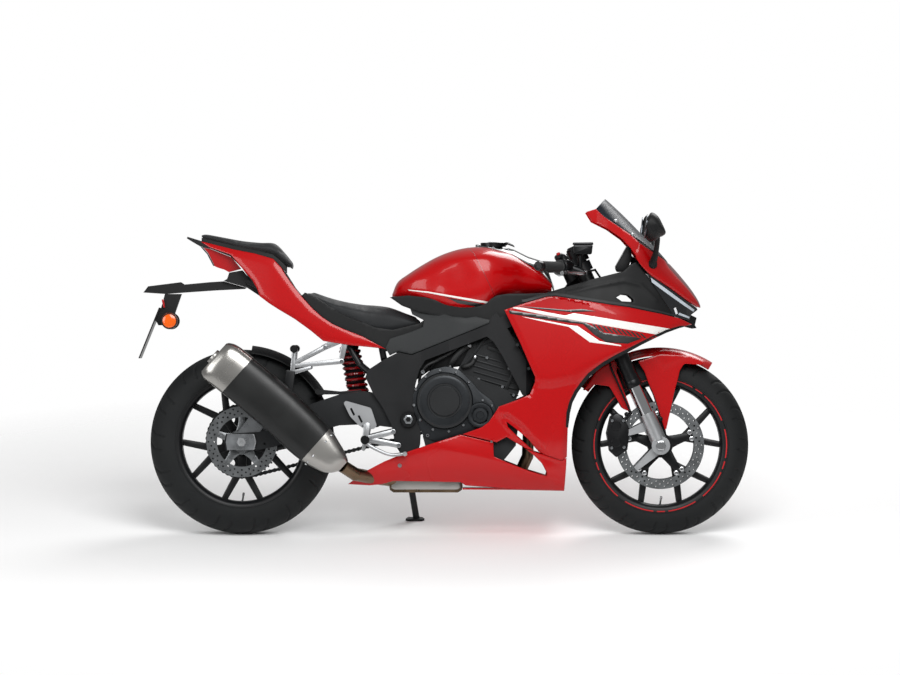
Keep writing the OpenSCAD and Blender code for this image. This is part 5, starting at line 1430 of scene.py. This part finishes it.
case = [(612, 332), (640, 318), (700, 300), (742, 318), (850, 350), (866, 400), (850, 448), (800, 486),
        (782, 510), (735, 556),
        (690, 568), (640, 556), (600, 520), (578, 470), (582, 410)]
covers = [slab(case, -155.5, -149, 3.0, 14.0)]
covers.append(turned([(-150, 0.1), (-150, 97), (-160, 96), (-168, 92), (-172.5, 84), (-173.4, 76),
                      (-173.4, 60), (-171.5, 57),
                      (-171.5, 52), (-175, 50), (-176.2, 45), (-176.2, 0.1)], CLUTCH, 72))
covers.append(turned([(-150, 0.1), (-150, 46), (-162, 45), (-166.5, 41), (-167.5, 34), (-166, 30), (-166, 26),
                      (-168.5, 24),
                      (-169, 14), (-167, 12), (-167, 0.1)], CRANK, 48))
covers.append(turned([(150, 0.1), (150, 84), (166, 83), (175, 78), (177.5, 70), (177.5, 40), (175.5, 37),
                      (175.5, 0.1)],
                     CRANK, 64))
build("engine_covers", covers, "chassis", COVER)
heads = bolt_circle(CLUTCH, 104, np.arange(38, 338, 30), -155.5, 5.0)
heads += bolt_circle(CRANK, 52, [-80, -40, 0, 40, 80], -154, 4.5)
heads += [bolt(628, 334, -152, 6, 8), bolt(722, 318, -152, 5, 6), bolt(612, 548, -150, 7, 9)]
heads += bolt_circle(CRANK, 84, np.arange(0, 360, 45), 151, 4.5)
build("engine_cover_bolts", heads, "chassis", STEEL)

ribs = []
for k in range(6):
    u = k / 5
    ribs.append(strut((780 + 8 * u, 610 - 100 * u), (952 - 20 * u, 560 - 92 * u), 2.4, 2.4, -124, -117, 1.0))
ribs += [strut((800, 640), (905, 688), 9, 8, -123, -96, 3),
         strut((836, 628), (966, 596), 7, 7, -123, -117, 2),
         strut((748, 560), (826, 668), 6, 5, -124, -117, 2),
         strut((884, 470), (958, 640), 6, 6, -125, -117, 2)]
build("engine_ribs", ribs, "chassis", CAST)
head_bolts = []
for x, z in ((800, 524), (828, 596), (858, 660), (880, 498), (902, 560), (940, 604), (918, 470), (934, 540)):
    head_bolts.append(along([(-2, 0.1), (-2, 5.5), (7, 5.5), (9, 4.5), (9, 2.5), (7, 2.2), (7, 0.1)],
                            (x, -121, z), (0, -1, 0.0), 14))
build("cylinder_head_bolts", head_bolts, "chassis", STEEL)

pipes = [tube([(700, -110, 560), (716, -132, 590), (744, -134, 622), (772, -118, 640)], 11, 14, 24),
         tube([(640, -96, 545), (650, -128, 580), (690, -134, 604), (728, -130, 628), (770, -120, 668),
               (800, -104, 684)], 6.5, 12, 32),
         tube([(742, -90, 566), (752, -130, 566), (776, -132, 576), (790, -120, 600)], 8, 12, 22),
         tube([(610, -100, 480), (600, -126, 520), (622, -138, 566), (668, -132, 590)], 5, 10, 26),
         tube([(960, -120, 560), (986, -128, 540), (1002, -126, 500), (990, -118, 470)], 10, 14, 22),
         tube([(960, 118, 560), (986, 128, 540), (1002, 126, 500), (990, 118, 470)], 10, 14, 22),
         tube([(700, 100, 560), (716, 128, 590), (760, 130, 622), (790, 112, 650)], 11, 14, 24),
         tube([(640, 96, 545), (650, 124, 580), (690, 128, 604), (760, 124, 640), (800, 104, 684)], 6.5, 12,
              30)]
build("coolant_and_breather_hoses", pipes, "chassis", HOSE)
clips = []
for p, d, r in (((704, -114, 567), (0.35, -0.5, 0.75), 12.6), ((766, -121, 636), (0.7, 0.3, 0.5), 12.6),
                ((745, -100, 566), (0.2, -1, 0), 9.6), ((787, -123, 596), (0.4, 0.3, 0.8), 9.6)):
    clips.append(along([(-4, r - 3), (-4, r), (4, r), (4, r - 3)], p, d, 24))
    clips.append(along([(0, 0.1), (0, 3), (8, 3), (8, 0.1)], (p[0], p[1] - r, p[2]), (0, -1, 0), 8))
build("hose_clips", clips, "chassis", BRIGHT)

airbox = slab([(520, 560), (560, 620), (700, 672), (830, 722), (880, 735), (930, 700), (900, 660), (820, 640),
               (776, 600),
               (740, 566), (640, 556), (560, 500), (520, 500)], -112, 112, 8.0, 16.0)
valve_cover = slab([(786, 640), (846, 700), (900, 712), (962, 676), (984, 610), (930, 610), (850, 620)], -100,
                   100, 6.0, 12.0)
build("airbox_and_throttle_bodies", [airbox, valve_cover], "chassis", PLASTIC)

liners = []


def under_tank(x, z):
    """Half width of the dark trim between the tank, the side cover and the fairing."""
    return np.interp(x, [480, 560, 640, 720, 800, 900, 1000, 1080],
                     [112, 124, 140, 152, 158, 160, 160, 156]) + 0 * z


liners += both(panel([(500, 800), (560, 806), (620, 800), (700, 780), (756, 770), (810, 776), (861, 806),
                      (900, 812),
                      (960, 812), (1060, 815), (1090, 800), (1060, 770), (960, 730), (900, 700), (850, 694),
                      (790, 722),
                      (700, 730), (600, 750), (540, 772)], under_tank, 3.0, [], 9.0, 1.6, -1))


def seat_skirt(x, z):
    """Half width of the dark edge of the seat base, a little inside the painted tail."""
    return np.interp(x, [180, 220, 340, 420, 520], [104, 118, 120, 122, 118]) + 0 * z


liners += both(panel([(196, 800), (214, 816), (250, 800), (300, 768), (352, 742), (409, 716), (452, 698),
                      (510, 690), (600, 712), (622, 728),
                      (634, 712), (530, 640), (486, 616), (440, 640), (400, 656), (347, 680), (300, 704),
                      (262, 732),
                      (230, 764)], seat_skirt, 3.0, [], 8.0, 1.6, -1))
build("seat_base_and_tank_trim", liners, "chassis", PLASTIC)

box = soften([(498, 152), (512, 143), (730, 143), (746, 152), (746, 222), (520, 224), (498, 212)], 8, 4)
build("catalyser_box", [slab(box, -89, 89, 10.0)], "chassis", BRUSHED)
fins = []
for z in range(380, 598, 9):
    x = 1003 + 0.134 * (z - 366)
    fins.append(slab([(x, z), (x + 38, z), (x + 38, z + 2), (x, z + 2)], -157, 157, 0.5))
build("radiator_fins", fins, "chassis", ANODISED)

# shock absorber spring: one coil round the damper
foot, top = np.array([400.0, 0, 440.0]), np.array([350.0, 0, 690.0])
axis = (top - foot) / np.linalg.norm(top - foot)
s = np.linspace(0, 1, 260)
turn = s * 2 * math.pi * 8
u = np.cross(axis, [0, 1.0, 0])
v = np.array([0, 1.0, 0])
coil = foot + axis * (30 + 156 * s)[:, None] + 32 * (np.cos(turn)[:, None] * u + np.sin(turn)[:, None] * v)
build("shock_spring", [tube(coil, 5.0, 10)], "chassis", RED_DARK_AND_PAINTED_SHADE)

# ---------------------------------------------------------------- chain, sprocket and rear brake

# the chain's plane, the radii it runs at on its two sprockets, and its number of links
CHAIN_Y = 92.0
RR, FR = 122.0, 39.9
LINKS = 112
centre_f = np.array([652.0, 392.0])
centre_r = np.array(REAR_C)
gap_line = centre_f - centre_r
length = np.linalg.norm(gap_line)
slope = math.atan2(gap_line[1], gap_line[0])
spread = math.acos((RR - FR) / length)
front_arc = np.linspace(-spread, spread, 40) + slope
rear_arc = np.linspace(spread, 2 * math.pi - spread, 100) + slope
pitch_line = np.vstack([np.stack([centre_f[0] + FR * np.cos(front_arc), centre_f[1] + FR * np.sin(front_arc)],
                                 1),
                  np.stack([centre_r[0] + RR * np.cos(rear_arc), centre_r[1] + RR * np.sin(rear_arc)], 1)])
joints_at = even(np.vstack([pitch_line, pitch_line[:1]]), LINKS, closed=True)
links, rollers = [], []
for i, (p, q) in enumerate(zip(joints_at, np.roll(joints_at, -1, 0))):
    y = 7.4 if i % 2 else 5.6
    d = math.atan2(q[1] - p[1], q[0] - p[0])
    b = np.array([math.pi / 2, math.pi * 0.75, math.pi, math.pi * 1.25, math.pi * 1.5])
    end = 7 * np.stack([np.cos(d + b), np.sin(d + b)], 1)
    waist = 4.6 * np.array([math.sin(d), -math.cos(d)])
    line = np.vstack([p + end, [(p + q) / 2 + waist], q - end, [(p + q) / 2 - waist]])
    for sign in (-1, 1):
        low, high = sorted((CHAIN_Y + sign * y, CHAIN_Y + sign * (y + 1.6)))
        rings = [np.stack([line[:, 0], np.full(len(line), h), line[:, 1]], 1) for h in (low, high)]
        links.append(loft(rings))
    rollers.append(turned([(CHAIN_Y - 9.6, 0.1), (CHAIN_Y - 9.6, 2.6), (CHAIN_Y - 4, 2.6), (CHAIN_Y - 4, 5),
                           (CHAIN_Y + 4, 5),
                           (CHAIN_Y + 4, 2.6), (CHAIN_Y + 9.6, 2.6), (CHAIN_Y + 9.6, 0.1)], p, 8))
build("chain", links + rollers, "chassis", CHAIN, "chain", 30)

teeth = []
for i in range(48):
    t = math.radians(i * 7.5)
    for k, r in ((-0.5, 116), (-0.32, 116.5), (-0.14, 124), (0.14, 124), (0.32, 116.5)):
        a = t + math.radians(7.5 * k)
        teeth.append((r * math.cos(a), r * math.sin(a)))
windows = []
for i in range(6):
    a = np.radians(np.linspace(0, 360, 18, endpoint=False))
    t = math.radians(i * 60)
    windows.append(np.stack([86 * math.cos(t) + 15 * np.cos(a), 86 * math.sin(t) + 15 * np.sin(a)], 1))
a = np.radians(np.linspace(0, 360, 40, endpoint=False))
windows.append(np.stack([15.5 * np.cos(a), 15.5 * np.sin(a)], 1))
sprocket = around(plate(teeth, windows, CHAIN_Y - 2.6, CHAIN_Y + 2.6), REAR_C, 0)
sprocket_hub = turned([(72.5, 15.2), (72.5, 57), (86, 56), (88.8, 52), (88.8, 15.2)], REAR_C, 48)
disc = around(drilled_ring(120, 84, 3.2, [(113, 24, 0), (104, 24, 7.5), (95, 24, 0)], -82.4, -77.8), REAR_C,
              0)
arms = [around(slab([(34, -20), (60, -12), (88, -10), (88, 10), (60, 12), (34, 20)], -82, -77.8, 1.0, 5.0),
               REAR_C, 90 + i * 72)
        for i in range(5)]
hub = turned([(-72.4, 15.2), (-72.4, 44), (-80, 44), (-82, 42), (-82, 15.2)], REAR_C, 40)
build("rear_disc_and_sprocket", [disc, hub] + arms, "rear_wheel_assembly", DISC,
      "rear_disc_and_sprocket", 30)
build("rear_sprocket", [sprocket, sprocket_hub], "rear_wheel_assembly", CHAIN)
wheel_bolts = bolt_circle(REAR_C, 72, [90, 162, 234, 306, 18], -82, 6.0, 4.0)
wheel_bolts += bolt_circle(REAR_C, 48, [30, 90, 150, 210, 270, 330], 89, 7.0)
build("rear_disc_bolts", wheel_bolts, "rear_wheel_assembly", STEEL)
ends = both(turned([(138, 0.1), (138, 16.5), (148, 16.5), (150, 15), (150, 6), (146, 5.5), (146, 0.1)],
                   REAR_C, 6))
ends += both(slab([(-46, 285), (-50, 312), (-46, 339), (44, 339), (50, 312), (44, 285)], 130.4, 138.6, 2.0,
                  5.0))
build("chain_adjusters", ends, "chassis", ALLOY)

# ---------------------------------------------------------------- foot gear

guard = [(345, 443), (352, 451), (437, 427), (446, 402), (457, 366), (448, 356), (418, 354), (396, 368),
         (367, 398)]
slots = [[(366, 424), (372, 428), (384, 404), (378, 400)], [(392, 400), (398, 403), (410, 380), (404, 376)]]
shield = around(plate(soften(guard, 6, 3), [soften(h, 2, 2) for h in slots], -157, -152), (0, 0), 0)
gear = [shield, strut((418, 322), (512, 347), 10, 9, -163, -151, 3),
        strut((418, 322), (530, 301), 10, 9, -163, -151, 3),
        strut((418, 318), (424, 366), 10, 12, -162, -151, 3),
        strut((418, 322), (412, 288), 9, 6, -162, -152, 2.5),
        turned([(-163.5, 0.1), (-163.5, 14), (-160, 16), (-152, 16), (-152, 0.1)], (418, 320), 28)]
rear_peg = [strut((178, 626), (172, 545), 7, 8, -134, -124.6, 2.5),
            strut((172, 575), (282, 632), 7, 8, -133, -125, 2.5),
            strut((178, 568), (338, 584), 7, 9, -133, -125, 2.5),
            strut((172, 545), (230, 562), 8, 6, -133, -125, 2.5),
            strut((276, 630), (352, 666), 9, 13, -131, -120, 2.5),
            strut((336, 584), (352, 664), 8, 12, -131, -120, 2.5)]
build("footpeg_hangers", pairs(gear + rear_peg), "chassis", ALLOY, "footpeg_hangers", 35)
pegs = []
for k in range(9):
    y = -200 - k * 6
    pegs.append(turned([(y, 0.1), (y, 15.2), (y - 3.6, 15.2), (y - 3.6, 0.1)], (418, 320), 24))
pegs.append(turned([(-168, 0.1), (-168, 11), (-196, 12.6), (-256, 12.6), (-258, 14.5), (-260, 14),
                    (-260, 0.1)], (418, 320), 24))
fold = turned([(-136, 0.1), (-136, 12), (-198, 13), (-201, 11), (-201, 0.1)], (178, 626), 24)
build("footpegs", pairs(pegs + [fold]), "chassis", ANODISED, "foot_controls")
brake = tube([(408, -176, 318), (440, -177, 296), (500, -178, 270), (552, -179, 273)], [6.5, 6, 5.5, 6], 12,
             30)
brake_pad = turned([(-178, 0.1), (-178, 8), (-210, 8), (-212, 6.5), (-212, 0.1)], (552, 273), 20)
lever = tube([(408, 176, 320), (440, 177, 303), (510, 178, 300), (572, 178, 310)], [6.5, 6, 5.5, 6], 12, 30)
shift_pad = turned([(178, 0.1), (178, 7.5), (212, 7.5), (214, 6), (214, 0.1)], (572, 310), 20)
build("pedals", [brake, brake_pad, lever, shift_pad], "chassis", ALLOY)
joints = pairs([bolt(512, 347, -163, 6.5, 4), bolt(530, 301, -163, 6.5, 4)])
joints += pairs([bolt(282, 632, -133, 6, 4), bolt(338, 584, -133, 6, 4)])
joints += [bolt(172, 545, -134, 7.5, 5), bolt(410, 366, -157, 4, 3),
           bolt(534, 233, -float(fair_base(534, 233)) - 0.5, 7, 3),
           bolt(843, 314, -float(fair_base(843, 314)) + 3, 4, 2)]
joints += both(turned([(160, 0.1), (160, 19), (164, 18), (165.5, 15), (165.5, 9), (162, 8), (162, 0.1)],
                      (563, 388), 6))
build("hanger_bolts", joints, "chassis", STEEL)
caps = both(turned([(159, 18), (159, 27), (163, 27), (165, 25), (165, 18)], (563, 388), 36))
build("pivot_caps", caps, "chassis", ANODISED)

# ---------------------------------------------------------------- controls

LEG = 103.0
BAR_IN = fork([[8, LEG, 655]])[0]
BAR_END = np.array([1010.0, 338.0, 903.0])
BAR = (BAR_END - BAR_IN) / np.linalg.norm(BAR_END - BAR_IN)
AHEAD = np.array([math.cos(math.radians(20)), 0.0, -math.sin(math.radians(20))])


def on_bar(d):
    """Point of the bar's middle line, d mm in from its end."""
    return BAR_END - BAR * d


rows = [(0, 11.3), (0, 19.6), (2, 20.4), (5, 20.2), (7, 17)]
for k in range(22):
    z = 9 + k * 4.9
    rows += [(z, 15.8), (z + 0.8, 16.9), (z + 3.0, 16.9), (z + 3.8, 15.8)]
rows += [(118, 16.6), (119, 15.5), (119, 11.3)]
grip = along(rows, on_bar(120), BAR, 28)
build("grips", both(grip), "fork_assembly", GRIP, "grips", 40)
weight = along([(0.4, 0.1), (0.4, 15.6), (3, 17), (20, 17), (25, 15.5), (26, 13), (26, 0.1)], BAR_END, BAR,
               28)
build("bar_end_weights", both(weight), "fork_assembly", ANODISED)

tip = on_bar(176) + AHEAD * 52 + np.array([0, 6, 0])
switch = along([(0.4, 11.4), (0.4, 24), (3, 26.4), (38, 26.4), (41.6, 23), (41.8, 11.4)], on_bar(162), BAR,
               30)
clamp = along([(0, 11.4), (0, 18), (2, 19.6), (22, 19.6), (24, 18), (24, 11.4)], on_bar(188), BAR, 26)
cylinder = tube([on_bar(176), on_bar(176) + AHEAD * 30 + [0, 3, 0], tip, tip + AHEAD * 5],
                [13, 13.5, 12.4, 9], 20, 14)
pod = tube([on_bar(150) + [0, 0, 20], on_bar(146) + [-10, 0, 32], on_bar(136) + [-14, 4, 36]], [16, 15, 9],
           18, 12)
housings = pairs((switch, clamp, cylinder, pod))
# brake fluid bottle, its lid and the arm it stands on
bx, by, bz = on_bar(192) + [40, 0, 62]
bottle = slab([(bx - 31, bz - 20), (bx - 33, bz + 12), (bx + 33, bz + 12), (bx + 29, bz - 20)], -by - 22,
              -by + 22, 4.0, 6.0)
cap = slab([(bx - 35, bz + 12), (bx - 34, bz + 20), (bx + 33, bz + 21), (bx + 35, bz + 12)], -by - 24,
           -by + 24, 3.0, 3.0)
arm = along([(0, 0.1), (0, 8), (50, 8), (54, 12), (56, 12), (56, 0.1)], (bx - 10, -by, bz - 74), (0, 0, 1),
            20)
build("hand_controls", housings + [bottle, cap, arm], "fork_assembly", ANODISED,
      "hand_controls")
levers = [on_bar(176) + AHEAD * 59.2 + [0, -4, 0], on_bar(140) + AHEAD * 71, on_bar(100) + AHEAD * 64,
          on_bar(60) + AHEAD * 62,
          on_bar(24) + AHEAD * 64, on_bar(8) + AHEAD * 68]
blade = tube(levers, [7, 7.5, 6.5, 6, 5.8, 6.8], 14, 44)
knob = along([(-8, 0.1), (-8, 7), (-6, 9), (6, 9), (8, 7), (8, 0.1)], on_bar(176) + AHEAD * 58, (0.1, 0, 1),
             18)
build("levers", both(blade) + both(knob), "fork_assembly", BRIGHT)
start = along([(0, 0.1), (0, 7), (6, 7), (8, 5), (8, 0.1)], on_bar(138) * [1, -1, 1] + [-14, -2, 40],
              (-0.5, 0, 1), 16)
build("switch_button", [start], "fork_assembly", RED_LENS)

# ---------------------------------------------------------------- fork, brakes and rear lights

UPRIGHT = fork([[0, 0, 1]])[0] - fork([[0, 0, 0]])[0]
details, shiny = [], []
base = fork([[0, LEG, 0]])[0]
details.append(along([(216, 20.8), (216, 27), (222, 29.4), (236, 29.4), (242, 27.5), (246, 26.2),
                      (246, 20.8)], base, UPRIGHT, 40))
shiny.append(along([(118, 10), (118, 21.2), (224, 21.2), (224, 10)], base, UPRIGHT, 40))
details.append(along([(722, 0.1), (722, 22), (728, 22), (730, 18), (735, 15), (735, 0.1)], base, UPRIGHT, 6))
shiny.append(turned([(126, 0.1), (126, 17.5), (128.5, 18.5), (133, 17.5), (134, 14), (134, 7), (130, 6.5),
                     (130, 0.1)], FRONT_C, 6))
build("fork_seals", pairs(details), "fork_assembly", ANODISED)
build("fork_chrome", pairs(shiny), "fork_assembly", CHROME)
caliper_line = [(-169, 96), (-150, 112), (-128, 100), (-104, 54), (-112, -14), (-150, -40), (-172, -20),
                (-182, 40)]
caliper = [slab([(FRONT_C[0] + x, FRONT_C[1] + z) for x, z in caliper_line], 79, 99, 5.0, 12.0)]
for z in (66, 10):
    caliper.append(turned([(97, 0.1), (97, 17), (101, 17), (103, 14), (103, 0.1)],
                          (FRONT_C[0] - 150, FRONT_C[1] + z), 32))
build("caliper_bodies", pairs(caliper), "fork_assembly", ANODISED)
pins = pairs([bolt(FRONT_C[0] + x, FRONT_C[1] + z, 99, 5.5, 4) for x,
              z in ((-126, 84), (-124, -6), (-164, 84), (-166, -8))])
build("caliper_bolts", pins, "fork_assembly", STEEL)

lens = turned([(86, 0.1), (86, 26), (106, 27.4), (110, 26), (113, 21), (114.4, 12), (114.6, 0.1)],
              (-244, 720), 40)
shell = turned([(82, 0.1), (83, 20), (85, 25), (87, 28), (91, 28.4), (93, 27.6), (93, 0.1)], (-244, 720), 40)
build("indicator_lenses", both(lens), "chassis", ORANGE)
build("indicator_shells", both(shell), "chassis", GLOSS)
reflector = slab([(-273, 793), (-267, 765), (-261, 765), (-265, 793)], -41, 41, 1.0, 2.0)
build("rear_reflector", [reflector], "chassis", RED_LENS)
marks = slab([(-345.8, 597), (-277.2, 761), (-276, 760.4), (-344.8, 596.4)], -93.4, 93.4, 0.4)
bezel = slab([(-141, 971), (-119, 946), (-98, 906), (-94, 908), (-115, 950), (-137, 974)], -36, 36, 1.0, 1.0)
build("tail_light_bezel", [bezel], "chassis", GLOSS)

# ---------------------------------------------------------------- floor, light and camera

floor_mesh = bpy.data.meshes.new("floor")
floor_mesh.from_pydata([(-40, -40, 0), (40, -40, 0), (40, 40, 0), (-40, 40, 0)], [], [(0, 1, 2, 3)])
floor = bpy.data.objects.new("floor", floor_mesh)
bpy.context.scene.collection.objects.link(floor)
floor.location.z = -0.0005
# matt white emulsion, rolled: it shows a soft shadow and fades out between these distances, in metres
FADE_START = 1.3
FADE_END = 2.6
paint = bpy.data.materials.new("studio_floor_painted")
paint.use_nodes = True
floor_tree = paint.node_tree
coat = floor_tree.nodes["Principled BSDF"]
coat.inputs["Base Color"].default_value = (0.92, 0.92, 0.92, 1)
coat.inputs["Roughness"].default_value = 0.9
coat.inputs["Specular IOR Level"].default_value = 0.05
spot = add(floor_tree, "ShaderNodeTexCoord").outputs["Object"]
far = add(floor_tree, "ShaderNodeVectorMath", operation="LENGTH")
floor_tree.links.new(spot, far.inputs[0])
fade = add(floor_tree, "ShaderNodeMapRange", Value=far.outputs["Value"])
fade.inputs["From Min"].default_value = FADE_START
fade.inputs["From Max"].default_value = FADE_END
clear = add(floor_tree, "ShaderNodeBsdfTransparent")
thin = add(floor_tree, "ShaderNodeMixShader")
floor_tree.links.new(fade.outputs["Result"], thin.inputs[0])
floor_tree.links.new(coat.outputs[0], thin.inputs[1])
floor_tree.links.new(clear.outputs[0], thin.inputs[2])
floor_tree.links.new(thin.outputs[0], floor_tree.nodes["Material Output"].inputs["Surface"])
floor_mesh.materials.append(paint)

world = bpy.data.worlds.new("studio_white")
bpy.context.scene.world = world
world.use_nodes = True
world_tree = world.node_tree
seen = add(world_tree, "ShaderNodeLightPath").outputs["Is Camera Ray"]
light = world_tree.nodes["Background"]
light.inputs["Color"].default_value = (1, 1, 1, 1)
light.inputs["Strength"].default_value = 0.3
paper = add(world_tree, "ShaderNodeBackground", Color=(1, 1, 1, 1), Strength=1.0)
both_worlds = add(world_tree, "ShaderNodeMixShader")
world_tree.links.new(seen, both_worlds.inputs[0])
world_tree.links.new(light.outputs[0], both_worlds.inputs[1])
world_tree.links.new(paper.outputs[0], both_worlds.inputs[2])
world_tree.links.new(both_worlds.outputs[0], world_tree.nodes["World Output"].inputs["Surface"])


def lamp(name, where, target, size, power):
    """A soft square light aimed at a point."""
    data = bpy.data.lights.new(name, "AREA")
    data.size = size
    data.energy = power
    light = bpy.data.objects.new(name, data)
    bpy.context.scene.collection.objects.link(light)
    light.location = where
    light.rotation_mode = "QUATERNION"
    light.rotation_quaternion = (Vector(target) - Vector(where)).to_track_quat("-Z", "Y")


lamp("key_softbox", (0.6, -3.2, 3.4), (0.1, 0, 0.5), 2.6, 150)
lamp("fill_softbox", (-3.2, -2.6, 1.8), (0, 0, 0.5), 2.0, 50)
lamp("rim_softbox", (1.5, 2.6, 3.0), (0, 0, 0.6), 2.2, 90)

camera_data = bpy.data.cameras.new("camera")
camera = bpy.data.objects.new("camera", camera_data)
bpy.context.scene.collection.objects.link(camera)
bpy.context.scene.camera = camera
camera_data.lens = 300
camera_data.sensor_width = 36
# width of the view at the bike in metres, and the point it looks at in bike millimetres
VIEW_WIDTH = 3.051
AIM = (703.425, 0, 664.101)
distance = VIEW_WIDTH * camera_data.lens / camera_data.sensor_width
aim = Vector(place([AIM])[0].tolist())
back = Vector((-LEFT).tolist())
camera.location = aim + back * distance
camera.rotation_mode = "QUATERNION"
camera.rotation_quaternion = (-back).to_track_quat("-Z", "Y")
camera_data.clip_end = 200
bpy.context.scene.view_settings.view_transform = "Standard"
